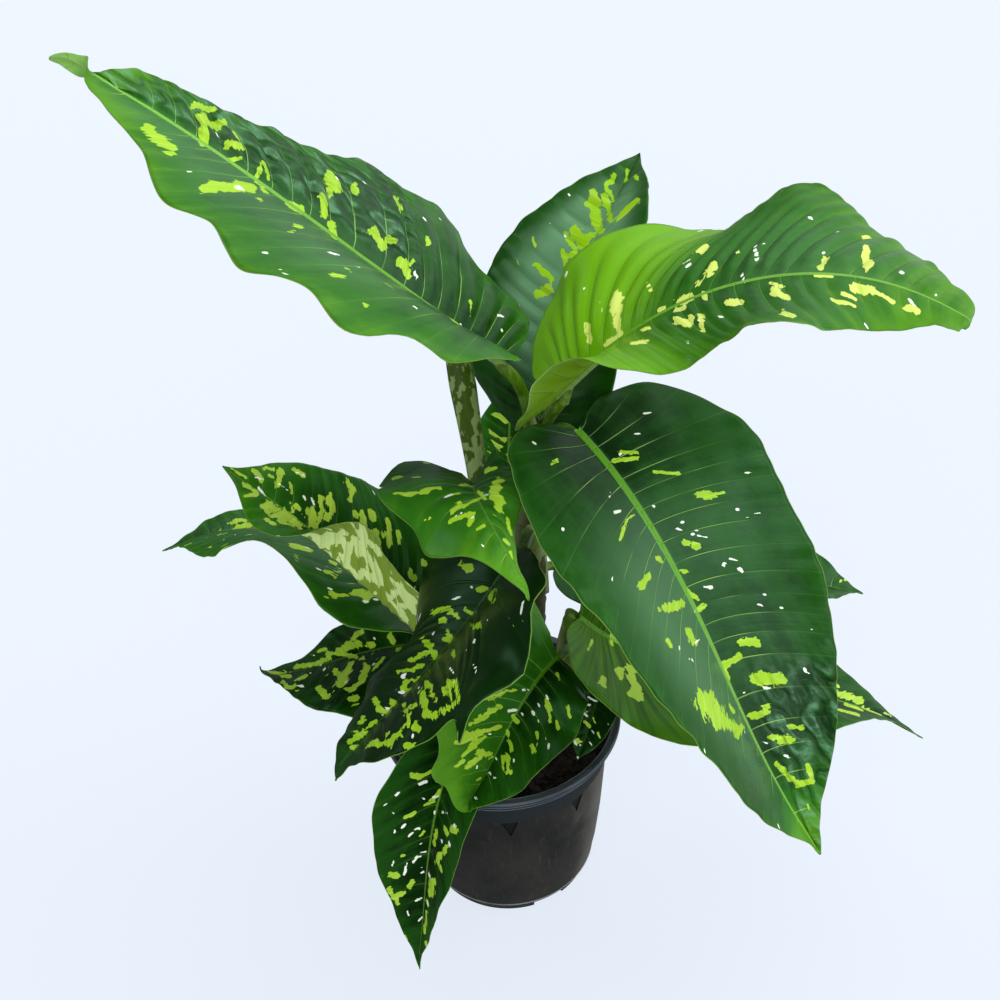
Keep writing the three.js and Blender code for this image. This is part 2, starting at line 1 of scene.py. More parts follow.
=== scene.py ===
# %% [markdown]
# # A potted dieffenbachia
# The plant is a handful of upright canes in a black nursery pot. Each cane carries broad,
# soft leaves on channelled petioles, and every blade is blotched in yellow green and flecked
# in white. The solid model of it is loaded first, as a frame that nothing here may move. Each
# finer piece is then made in the same place, in metres, from the same named values.

# %% Load the frame
import json
import math

import bmesh
import bpy
import numpy as np
from mathutils import Matrix, Vector

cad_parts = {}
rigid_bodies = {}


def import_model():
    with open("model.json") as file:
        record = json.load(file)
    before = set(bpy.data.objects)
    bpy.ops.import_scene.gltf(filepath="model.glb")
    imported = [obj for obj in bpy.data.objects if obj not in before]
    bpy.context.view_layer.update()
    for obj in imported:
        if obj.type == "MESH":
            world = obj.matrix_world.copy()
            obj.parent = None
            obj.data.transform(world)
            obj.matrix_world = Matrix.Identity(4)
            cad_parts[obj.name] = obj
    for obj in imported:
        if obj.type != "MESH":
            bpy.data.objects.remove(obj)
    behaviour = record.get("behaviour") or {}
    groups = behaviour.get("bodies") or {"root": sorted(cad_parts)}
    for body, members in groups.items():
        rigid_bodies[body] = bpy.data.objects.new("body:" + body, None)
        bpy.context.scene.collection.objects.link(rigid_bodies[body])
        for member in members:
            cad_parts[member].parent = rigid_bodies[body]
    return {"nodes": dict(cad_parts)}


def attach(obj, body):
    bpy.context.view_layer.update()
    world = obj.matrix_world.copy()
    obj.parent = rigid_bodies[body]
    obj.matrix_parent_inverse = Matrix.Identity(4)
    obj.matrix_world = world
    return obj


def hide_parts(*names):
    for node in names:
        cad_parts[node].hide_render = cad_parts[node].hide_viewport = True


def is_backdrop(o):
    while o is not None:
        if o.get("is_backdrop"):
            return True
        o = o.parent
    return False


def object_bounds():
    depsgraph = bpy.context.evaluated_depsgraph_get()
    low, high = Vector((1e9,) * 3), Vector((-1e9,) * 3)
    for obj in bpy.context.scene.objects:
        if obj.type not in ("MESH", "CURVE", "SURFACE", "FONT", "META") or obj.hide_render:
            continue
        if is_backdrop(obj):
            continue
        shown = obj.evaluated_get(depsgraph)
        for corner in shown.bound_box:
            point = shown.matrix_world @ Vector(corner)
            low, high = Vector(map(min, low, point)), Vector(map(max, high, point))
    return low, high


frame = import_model()
cad_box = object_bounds()
MM = 0.001
print("nodes:", len(frame["nodes"]), "box in mm:", [[round(v / MM) for v in p] for p in cad_box])

# %% [markdown]
# ## The camera
# The view is from above the rim, about two fifths of the way from level to straight down. A
# camera could be aimed at the plant by eye. Here its place and tilt are written out, so that the
# pot's rim and foot come out as the ellipses that a 140 mm pot shows from there.

# %% Camera
FOCAL_PIXELS, FRAME_PIXELS, SENSOR = 1290, 1000, 36
CAMERA_PLACE = Vector((6.9, -529, 675.9)) * MM
CAMERA_DOWN, CAMERA_ROLL = math.radians(37.07), math.radians(-3.44)


def stand(name, data):
    """An object in the scene, made from a mesh, a lamp or a camera."""
    made = bpy.data.objects.new(name, data)
    bpy.context.collection.objects.link(made)
    return made


camera_data = bpy.data.cameras.new("camera")
camera_data.sensor_width = SENSOR
camera_data.lens = FOCAL_PIXELS / FRAME_PIXELS * SENSOR
camera = stand("camera", camera_data)
aim = Matrix.Rotation(math.pi / 2 - CAMERA_DOWN, 4, "X")
roll = Matrix.Rotation(CAMERA_ROLL, 4, "Z")
camera_matrix = Matrix.Translation(CAMERA_PLACE) @ aim @ roll
camera.matrix_world = camera_matrix
bpy.context.scene.camera = camera
print("lens:", round(camera_data.lens, 2), "mm")

# %% [markdown]
# ## Light and floor
# The plant is seen in even daylight on a pale ground, and its glossy leaves show where the
# light is: bright to the right and above, darker on the near side. A single lamp would leave
# hard shadows between the leaves. So the sky does most of the work, and grows brighter towards
# that side. Four wide lamps add form and sheen. The floor glows a little, so that its shadows
# stay faint, and it is left out of the reflections, which would grey the dark leaves.

# %% Sky
BRIGHT_SIDE = (0.75, 0.2, 0.6)
SKY_DIM, SKY_BRIGHT = (0.10, 0.11, 0.11, 1), (0.90, 0.97, 1.0, 1)
BRIGHTEST_FROM, SKY_STRENGTH = 0.7, 0.9

bpy.context.scene.view_settings.view_transform = "Standard"
world = bpy.data.worlds.new("sky")
bpy.context.scene.world = world
world.use_nodes = True
sky = world.node_tree.nodes
sky.clear()
sky_place = sky.new("ShaderNodeTexCoord")
sky_side = sky.new("ShaderNodeVectorMath")
sky_side.operation = "DOT_PRODUCT"
sky_side.inputs[1].default_value = Vector(BRIGHT_SIDE).normalized()
sky_ramp = sky.new("ShaderNodeValToRGB")
for end, place, colour in ((0, 0.0, SKY_DIM), (1, BRIGHTEST_FROM, SKY_BRIGHT)):
    sky_ramp.color_ramp.elements[end].position = place
    sky_ramp.color_ramp.elements[end].color = colour
sky_light = sky.new("ShaderNodeBackground")
sky_light.inputs["Strength"].default_value = SKY_STRENGTH
sky_out = sky.new("ShaderNodeOutputWorld")
wire = world.node_tree.links.new
wire(sky_place.outputs["Generated"], sky_side.inputs[0])
wire(sky_side.outputs["Value"], sky_ramp.inputs[0])
wire(sky_ramp.outputs[0], sky_light.inputs[0])
wire(sky_light.outputs[0], sky_out.inputs[0])
print("the sky is brightest towards", BRIGHT_SIDE)

# %% Lamps and floor
# Each lamp: where it comes from, its strength, its spread in degrees and its colour.
LAMPS = {
    "lamp_overhead": ((0.3, 0.3, 1), 1.1, 60, (1.0, 0.99, 0.96)),
    "lamp_window": ((0.95, 0.0, 0.4), 0.9, 36, (0.94, 0.98, 1.0)),
    "lamp_left": ((-0.65, 0.35, 0.45), 0.4, 24, (0.85, 0.95, 1.0)),
    "lamp_front": ((-0.2, -1.0, 0.6), 1.5, 60, (1.0, 0.99, 0.97)),
}
for name, (comes_from, strength, spread, colour) in LAMPS.items():
    lamp = bpy.data.lights.new(name, "SUN")
    lamp.energy, lamp.angle, lamp.color = strength, math.radians(spread), colour
    stand(name, lamp).rotation_euler = Vector(comes_from).to_track_quat("Z", "Y").to_euler()

FLOOR_HALF = 8
floor_corners = [(-1, -1, 0), (1, -1, 0), (1, 1, 0), (-1, 1, 0)]
floor_mesh = bpy.data.meshes.new("floor")
floor_mesh.from_pydata([Vector(c) * FLOOR_HALF for c in floor_corners], [], [(0, 1, 2, 3)])
floor = stand("floor", floor_mesh)
floor.visible_glossy = False
floor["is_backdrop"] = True
print("lamps:", list(LAMPS), "and a floor", 2 * FLOOR_HALF, "m wide")

# %% [markdown]
# ## How a material is mixed
# Every finish here is a small tree of nodes. Wired by hand, each takes a dozen lines for one
# colour. This helper adds one node for each call and gives back its result, so that a
# finish reads like a recipe: take a noise, squeeze it, use it to blend two colours.

# %% The recipe helper
class Recipe:
    """A material on its way to being finished. A value is a number or what a node gives."""

    def __init__(self, name):
        self.material = bpy.data.materials.new(name)
        self.material.use_nodes = True
        self.tree = self.material.node_tree
        self.shader = self.tree.nodes["Principled BSDF"]

    def put(self, socket, value):
        if isinstance(value, bpy.types.NodeSocket):
            self.tree.links.new(value, socket)
        elif hasattr(socket.default_value, "__len__") and len(socket.default_value) == 4:
            socket.default_value = (*value, 1) if len(value) == 3 else value
        else:
            socket.default_value = value

    def node(self, kind, inputs=(), **settings):
        made = self.tree.nodes.new("ShaderNode" + kind)
        for key, value in settings.items():
            setattr(made, key, value)
        for key, value in dict(inputs).items():
            self.put(made.inputs[key], value)
        return made

    def sum(self, operation, a, b=0.0, c=0.0):
        """One sum of numbers, such as MAXIMUM or LESS_THAN."""
        return self.node("Math", {0: a, 1: b, 2: c}, operation=operation).outputs[0]

    def plus(self, a, b):
        return self.sum("ADD", a, b)

    def less(self, a, b):
        return self.sum("SUBTRACT", a, b)

    def times(self, a, b):
        return self.sum("MULTIPLY", a, b)

    def over(self, a, b):
        return self.sum("DIVIDE", a, b)

    def add_some(self, a, amount, base):
        """The base with an amount of a added."""
        return self.sum("MULTIPLY_ADD", a, amount, base)

    def sway(self, noise, amount, base):
        """The base moved up and down by a noise that runs from 0 to 1."""
        return self.add_some(self.less(noise, 0.5), amount, base)

    def squeeze(self, value, low, high, to_low=0.0, to_high=1.0):
        """Maps low..high smoothly onto to_low..to_high, and holds the ends."""
        inputs = {"Value": value, 1: low, 2: high, 3: to_low, 4: to_high}
        return self.node("MapRange", inputs, interpolation_type="SMOOTHSTEP").outputs[0]

    def blend(self, amount, a, b):
        """The colour a, turned into b by the amount."""
        made = self.node("Mix", data_type="RGBA")
        for socket, value in ((0, amount), (6, a), (7, b)):
            self.put(made.inputs[socket], value)
        return made.outputs[2]

    def parts(self, vector):
        """The three numbers of a vector."""
        return self.node("SeparateXYZ", {0: vector}).outputs

    def named(self, attribute):
        """The three numbers of a named vector that the mesh carries."""
        return self.parts(self.node("Attribute", attribute_name=attribute).outputs["Vector"])

    def spot(self, x, y, z=0.0):
        return self.node("CombineXYZ", {0: x, 1: y, 2: z}).outputs[0]

    def place(self):
        """The point on the piece, in metres."""
        return self.node("TexCoord").outputs["Object"]

    def noise(self, spot, scale, detail=2.0, roughness=0.5):
        inputs = {"Vector": spot, "Scale": scale, "Detail": detail, "Roughness": roughness}
        return self.node("TexNoise", inputs).outputs["Fac"]

    def cells(self, spot, scale=1.0):
        """Crumb-like cells: how far each point is from its cell's middle, and a chance colour."""
        return self.node("TexVoronoi", {"Vector": spot, "Scale": scale}, feature="F1").outputs

    def chance(self, cells):
        """One number from 0 to 1 for each cell."""
        return self.node("SeparateColor", {0: cells["Color"]}).outputs[0]

    def relief(self, height, depth, under=None):
        """Bump, where a height of 1 stands depth metres proud."""
        inputs = {"Height": height, "Distance": depth, "Strength": 1.0}
        if under is not None:
            inputs["Normal"] = under
        return self.node("Bump", inputs).outputs[0]

    def done(self, **sockets):
        for name, value in sockets.items():
            self.put(self.shader.inputs[name.replace("_", " ")], value)
        return self.material


ground = Recipe("pale_ground")
ground_cloud = ground.noise(ground.place(), 1.5)
ground_colour = ground.blend(ground_cloud, (0.10, 0.105, 0.115), (0.105, 0.11, 0.115))
GROUND_GLOW = (0.70, 0.755, 0.84, 1)
floor_mesh.materials.append(ground.done(
    Base_Color=ground_colour, Roughness=0.9, Emission_Color=GROUND_GLOW, Emission_Strength=1.0))
print("the floor is", floor_mesh.materials[0].name)

# %% [markdown]
# ## The shape of a leaf
# A blade starts as a flat outline: a rounded base, a belly and a long drawn-out tip. A modelled
# plane could be pulled about by hand, leaf by leaf. Here each leaf is a set of named values
# instead, which are the values of the solid model: where it starts, how it climbs and turns
# along its midrib, how each half folds up from it, and how its margin waves. The rows of the
# mesh run as the side veins do, straight out of the midrib and then on towards the tip.

# %% The values of every leaf, in millimetres and degrees
PLAIN_LEAF = dict(
    lobe=0.05, belly=0.36, tip=1, hook=0, waves=2.5, ruffle=4, ruffle_at=(0, 0), scallop=0,
    scallops=5, scallop_at=(0, 0), curl=0, curl_from=0, curl_to=1,
)
# The ends of some leaves are finer than the solid shows them. A strip is the least width that
# runs on to the tip, and it is rounded off over the last share of the rows. The right margin
# near the tip may be given as pairs of a share of the length and a width in millimetres. The
# end pitches and rolls from its start to the tip: the pitch by a first amount half way, then
# by a last, and the roll over a part of it.
PLAIN_END = dict(
    strip=0, rounding=0.03, right_margin=None, start=0.9, end_pitch=(0, 0), end_roll=0,
    roll_part=(0.5, 1),
)
ENDS = {
    "blade_upper_left": dict(
        strip=0.056, rounding=0.13, start=0.842, end_pitch=(8, -40), end_roll=140,
        roll_part=(0.3, 0.62), right_margin=(
            (0.6, 46), (0.68, 36), (0.78, 25.5), (0.83, 22), (0.86, 17), (0.895, 6), (0.93, 5)),
    ),
    "blade_upper_right": dict(strip=0.22, rounding=0.1, start=0.97, end_pitch=(-60, -120)),
    "blade_middle_front": dict(strip=0.025, start=0.93, end_pitch=(0, -25)),
    "blade_centre": dict(strip=0.03, start=0.93, end_pitch=(-30, -75)),
    "blade_left_low": dict(strip=0.02, start=0.92, end_pitch=(20, 50)),
}
LEAVES = {
    "blade_upper_left": dict(
        base=(14, -17, 368), length=249, half=(75, 78), heading=(162, 156), pitch=(33, 34, 20),
        bank=(21, -4), left_fold=(31, 4), right_fold=(24, 10), arch=(-43, -29), ruffle=8,
        waves=1.3, ruffle_at=(250, 290), lobe=0.01, belly=0.35, tip=0.5, hook=3, scallop=0.09,
        scallops=5.2, scallop_at=(320, 330),
    ),
    "blade_upper_right": dict(
        base=(37, -10, 344), length=212, half=(75, 48), heading=(-21, -26), pitch=(52, 25, -34),
        bank=(21, 21), left_fold=(14, -16), right_fold=(32, 4), arch=(-21, 13), ruffle=14,
        waves=2.1, ruffle_at=(350, 310), lobe=0.07, belly=0.34, tip=1.4, hook=5, scallop=0.09,
        scallops=3.1, scallop_at=(120, 70),
    ),
    "blade_front_right": dict(
        base=(45, -25, 333), length=240, half=(81, 74), heading=(-49, -45),
        pitch=(-23, -57, -40), bank=(-20, 13), left_fold=(18, 5), right_fold=(5, 43),
        arch=(4, -15), ruffle=2, waves=3.0, ruffle_at=(270, 130), lobe=0.04, belly=0.28, tip=1.2,
    ),
    "blade_upper_back": dict(
        base=(29, 34, 287), length=179, half=(69, 50), heading=(55, 61), pitch=(84, 38, 18),
        bank=(-43, 9), left_fold=(18, 0), right_fold=(-3, 33), arch=(-7, -21), ruffle=2,
        waves=2.4, ruffle_at=(310, 80), lobe=0.01, belly=0.31, tip=1.0, hook=-2,
    ),
    "blade_middle_front": dict(
        base=(-4, -30, 308), length=115, half=(23, 46), heading=(-97, -60), pitch=(39, 12, -45),
        bank=(3, -27), left_fold=(64, -12), right_fold=(42, -23), arch=(-6, -49), ruffle=7,
        waves=2.1, ruffle_at=(90, 160), lobe=0.03, belly=0.26, tip=0.5, scallop=0.08,
        scallops=3.7, scallop_at=(110, 310),
    ),
    "blade_left_folded": dict(
        base=(-30, -17, 197), length=149, half=(37, 48), heading=(159, 170), pitch=(39, 46, 35),
        bank=(-39, -4), left_fold=(9, 5), right_fold=(16, 6), arch=(-20, -18), ruffle=-5,
        waves=2.0, ruffle_at=(220, 70), lobe=0.05, belly=0.48, tip=1.2, hook=11, curl=120,
        curl_from=0.52, curl_to=0.86,
    ),
    "blade_left_under": dict(
        base=(-29, 19, 166), length=219, half=(58, 44), heading=(151, 159), pitch=(57, 0, -43),
        bank=(32, -1), left_fold=(13, 18), right_fold=(25, 14), arch=(-21, -18), ruffle=14,
        waves=2.2, ruffle_at=(80, 100), lobe=0.03, belly=0.38, tip=0.9, hook=15,
    ),
    "blade_left_low": dict(
        base=(-36, 24, 154), length=113, half=(58, 37), heading=(175, 180), pitch=(9, -19, 6),
        bank=(-13, 20), left_fold=(18, 11), right_fold=(24, 3), arch=(-22, -11), ruffle=5,
        waves=2.3, ruffle_at=(90, 290), lobe=0.04, belly=0.36, tip=0.8, hook=43,
    ),
    "blade_centre": dict(
        base=(12, -60, 288), length=133, half=(80, 62), heading=(-136, -142),
        pitch=(-38, -23, -33), bank=(27, 19), left_fold=(31, 27), right_fold=(28, 2),
        arch=(-37, -50), ruffle=6, waves=2.4, ruffle_at=(320, 270), lobe=0.04, belly=0.63,
        tip=1.2, hook=10,
    ),
    "blade_front_centre": dict(
        base=(32, -46, 207), length=100, half=(31, 56), heading=(-129, -150),
        pitch=(10, -51, -35), bank=(-22, -4), left_fold=(-8, 25), right_fold=(31, 85),
        arch=(-14, 3), ruffle=9, waves=2.6, ruffle_at=(320, 90), lobe=0.02, belly=0.36, tip=1.2,
        hook=-58,
    ),
    "blade_front_low": dict(
        base=(-16, -55, 177), length=172, half=(26, 34), heading=(-131, -131),
        pitch=(-40, -75, -70), bank=(-14, 0), left_fold=(13, 38), right_fold=(67, 16),
        arch=(-5, -7), ruffle=2, waves=2.9, ruffle_at=(130, 140), lobe=0.05, belly=0.32, tip=1.0,
        hook=-13,
    ),
    "blade_right_low": dict(
        base=(45, -22, 212), length=248, half=(59, 60), heading=(-4, 13), pitch=(-50, -22, -60),
        bank=(22, -13), left_fold=(23, 24), right_fold=(25, 20), arch=(-3, -16), ruffle=4,
        waves=2.7, ruffle_at=(130, 90), lobe=0.04, belly=0.43, tip=0.4, hook=16,
    ),
    "blade_right_back": dict(
        base=(37, 44, 195), length=210, half=(51, 41), heading=(7, 12), pitch=(-11, -19, -25),
        bank=(9, 6), left_fold=(22, 26), right_fold=(11, 25), arch=(-14, -18), ruffle=6,
        waves=2.5, ruffle_at=(20, 180), lobe=0.02, belly=0.36, tip=1.1, hook=-5,
    ),
    "blade_in_pot": dict(
        base=(58, -13, 154), length=46, half=(14, 14), heading=(-112, -126),
        pitch=(-30, -42, -48), bank=(0, 0), left_fold=(20, 10), right_fold=(20, 10),
        arch=(-10, -10), ruffle=2,
    ),
    "blade_small_back": dict(
        base=(12, 62, 243), length=58, half=(20, 20), heading=(80, 85), pitch=(60, 45, 30),
        bank=(0, 0), left_fold=(25, 10), right_fold=(25, 10), arch=(-10, -10), ruffle=2,
    ),
}

# %% The outline and the midrib
RIB_STEPS = 320
HOOK_FROM = 0.86
FOLD_SETTLES = 1.3
CURL_SHARE = 0.35
BEND_STEPS = 24
RUFFLE_CALM, SCALLOP_CALM = 0.12, 0.15
ROW_SWEEP = 1.5
MARGIN_BLEND = 0.05


def smooth(x):
    """Rises from 0 to 1 with a gentle start and end."""
    x = np.clip(x, 0, 1)
    return x * x * (3 - 2 * x)


def spline(knots, t):
    """A smooth curve through the knots, at an even pace."""
    last = len(knots) - 1
    knots = np.vstack([2 * knots[0] - knots[1], knots, 2 * knots[-1] - knots[-2]])
    spot = np.clip(t * last, 0, last - 1e-9)
    i = spot.astype(int)
    f = (spot - i)[:, None]
    a, b, c, d = knots[i], knots[i + 1], knots[i + 2], knots[i + 3]
    return 0.5 * (2 * b + (c - a) * f + (2 * a - 5 * b + 4 * c - d) * f**2
                  + (3 * b - a - 3 * c + d) * f**3)


def outline(leaf, t):
    """How far along and how wide the blade is, and where that row leaves the midrib."""
    narrowing = 0.5 + 0.5 * leaf["tip"]
    rows = spline(np.array([
        [0, 0, 0],
        [-leaf["lobe"], 0.34, 0.012],
        [0.02 - 0.62 * leaf["lobe"], 0.7, 0.035],
        [0.13, 0.93, 0.09],
        [leaf["belly"], 1, 0.19],
        [0.62, 0.8 * narrowing, 0.47],
        [0.82, 0.43 * leaf["tip"], 0.74],
        [0.93, 0.135 * leaf["tip"], 0.906],
        [1, 0, 1],
    ]), t)
    strip = leaf["strip"] * np.sqrt(np.clip((1 - t) / leaf["rounding"], 0, 1))
    rows[:, 1] = np.where(t > 0.5, np.maximum(rows[:, 1], strip), rows[:, 1])
    return rows


def midrib(leaf):
    """The midrib's place, and which way is along, across and up, at even steps."""
    x = np.linspace(0, 1, RIB_STEPS + 1)
    first, middle, last = leaf["pitch"]
    pitch = first * (1 - x) * (1 - 2 * x) + 4 * middle * x * (1 - x) + last * x * (2 * x - 1)
    pitch = pitch + leaf["hook"] * smooth((x - HOOK_FROM) / (1 - HOOK_FROM))
    end = (x - leaf["start"]) / (1 - leaf["start"])
    pitch = np.radians(pitch + np.interp(end, (0, 0.5, 1), (0, *leaf["end_pitch"])))
    heading = np.radians(leaf["heading"][0] + np.diff(leaf["heading"])[0] * x)
    roll_from, roll_to = leaf["roll_part"]
    rolled = leaf["end_roll"] * smooth((end - roll_from) / (roll_to - roll_from))
    bank = np.radians(leaf["bank"][0] + np.diff(leaf["bank"])[0] * x + rolled)[:, None]
    level = np.cos(pitch)
    along = np.stack([np.cos(heading) * level, np.sin(heading) * level, np.sin(pitch)], -1)
    side = np.stack([-np.sin(heading), np.cos(heading), 0 * heading], -1)
    up = np.cross(along, side)
    across = side * np.cos(bank) + up * np.sin(bank)
    normal = up * np.cos(bank) - side * np.sin(bank)
    step = (along[1:] + along[:-1]) / 2 * leaf["length"] / RIB_STEPS
    place = np.vstack([np.zeros(3), np.cumsum(step, 0)]) + np.array(leaf["base"])
    return x, place, along, across, normal


def leaf_values(name):
    """All the values of one leaf: its own, and the plain ones where it has none."""
    return {**PLAIN_LEAF, **PLAIN_END, **LEAVES[name], **ENDS.get(name, {})}


print("longest leaf:", max(leaf["length"] for leaf in LEAVES.values()), "mm")

# %% From the flat blade to the living leaf
def bend(leaf, x, y):
    """Bends flat points of the blade, x along and y across, onto the living leaf."""
    shares, *frames = midrib(leaf)
    share = np.clip(x / leaf["length"], 0, 1)
    place, along, across, normal = (
        np.stack([np.interp(share, shares, f[:, k]) for k in range(3)], -1) for f in frames)
    left = y >= 0
    width = np.where(left, *leaf["half"])
    first = np.where(left, leaf["left_fold"][0], leaf["right_fold"][0])
    last = np.where(left, leaf["left_fold"][1], leaf["right_fold"][1])
    fold = np.radians(first + (last - first) * smooth(share * FOLD_SETTLES))
    arch = np.radians(np.where(left, *leaf["arch"]))
    curl_end = (share - leaf["curl_from"]) / (leaf["curl_to"] - leaf["curl_from"])
    curl = np.radians(leaf["curl"]) * (1 - smooth(curl_end)) * left
    reach = np.abs(y)
    out, lift = np.zeros_like(x), np.zeros_like(x)
    for i in range(BEND_STEPS):
        s = reach * (i + 0.5) / BEND_STEPS
        angle = fold + arch * s / width + curl * smooth(s / (CURL_SHARE * width))
        out += np.cos(angle) * reach / BEND_STEPS
        lift += np.sin(angle) * reach / BEND_STEPS
    calm = smooth(share / RUFFLE_CALM) * smooth((1 - share) / RUFFLE_CALM)
    turn = 2 * np.pi * leaf["waves"] * share + np.radians(np.where(left, *leaf["ruffle_at"]))
    lift += leaf["ruffle"] * (reach / width) ** 2 * calm * np.sin(turn)
    out = np.where(left, out, -out)
    return (place + along * np.minimum(x, 0)[..., None] + across * out[..., None]
            + normal * lift[..., None])


def blade_flat(leaf, t, s):
    """Flat points for rows t and columns s, and how far along the midrib each row starts."""
    edge, wide, root = outline(leaf, t).T
    inside = np.clip(edge, 0, 1)
    calm = smooth(inside / SCALLOP_CALM) * smooth((1 - inside) / SCALLOP_CALM)
    turn = 2 * np.pi * leaf["scallops"] * inside
    widths = [leaf["half"][k] * (1 + leaf["scallop"] * calm
              * np.sin(turn + math.radians(leaf["scallop_at"][k]))) for k in (0, 1)]
    left, right = np.maximum(wide, 0) * widths
    if leaf["right_margin"]:
        shares, given = zip(*leaf["right_margin"])
        starts = smooth((edge - shares[0]) / MARGIN_BLEND)
        ends = smooth((shares[-1] - edge) / MARGIN_BLEND + 1)
        right = right + (np.interp(edge, shares, given) - right) * (starts * ends)
    x = (root[:, None] + (edge - root)[:, None] * np.abs(s) ** ROW_SWEEP) * leaf["length"]
    y = s * np.where(s[None] >= 0, left[:, None], right[:, None])
    return x, y, np.broadcast_to(root[:, None], x.shape)


print("a blade is bent in", BEND_STEPS, "steps from its midrib to its margin")
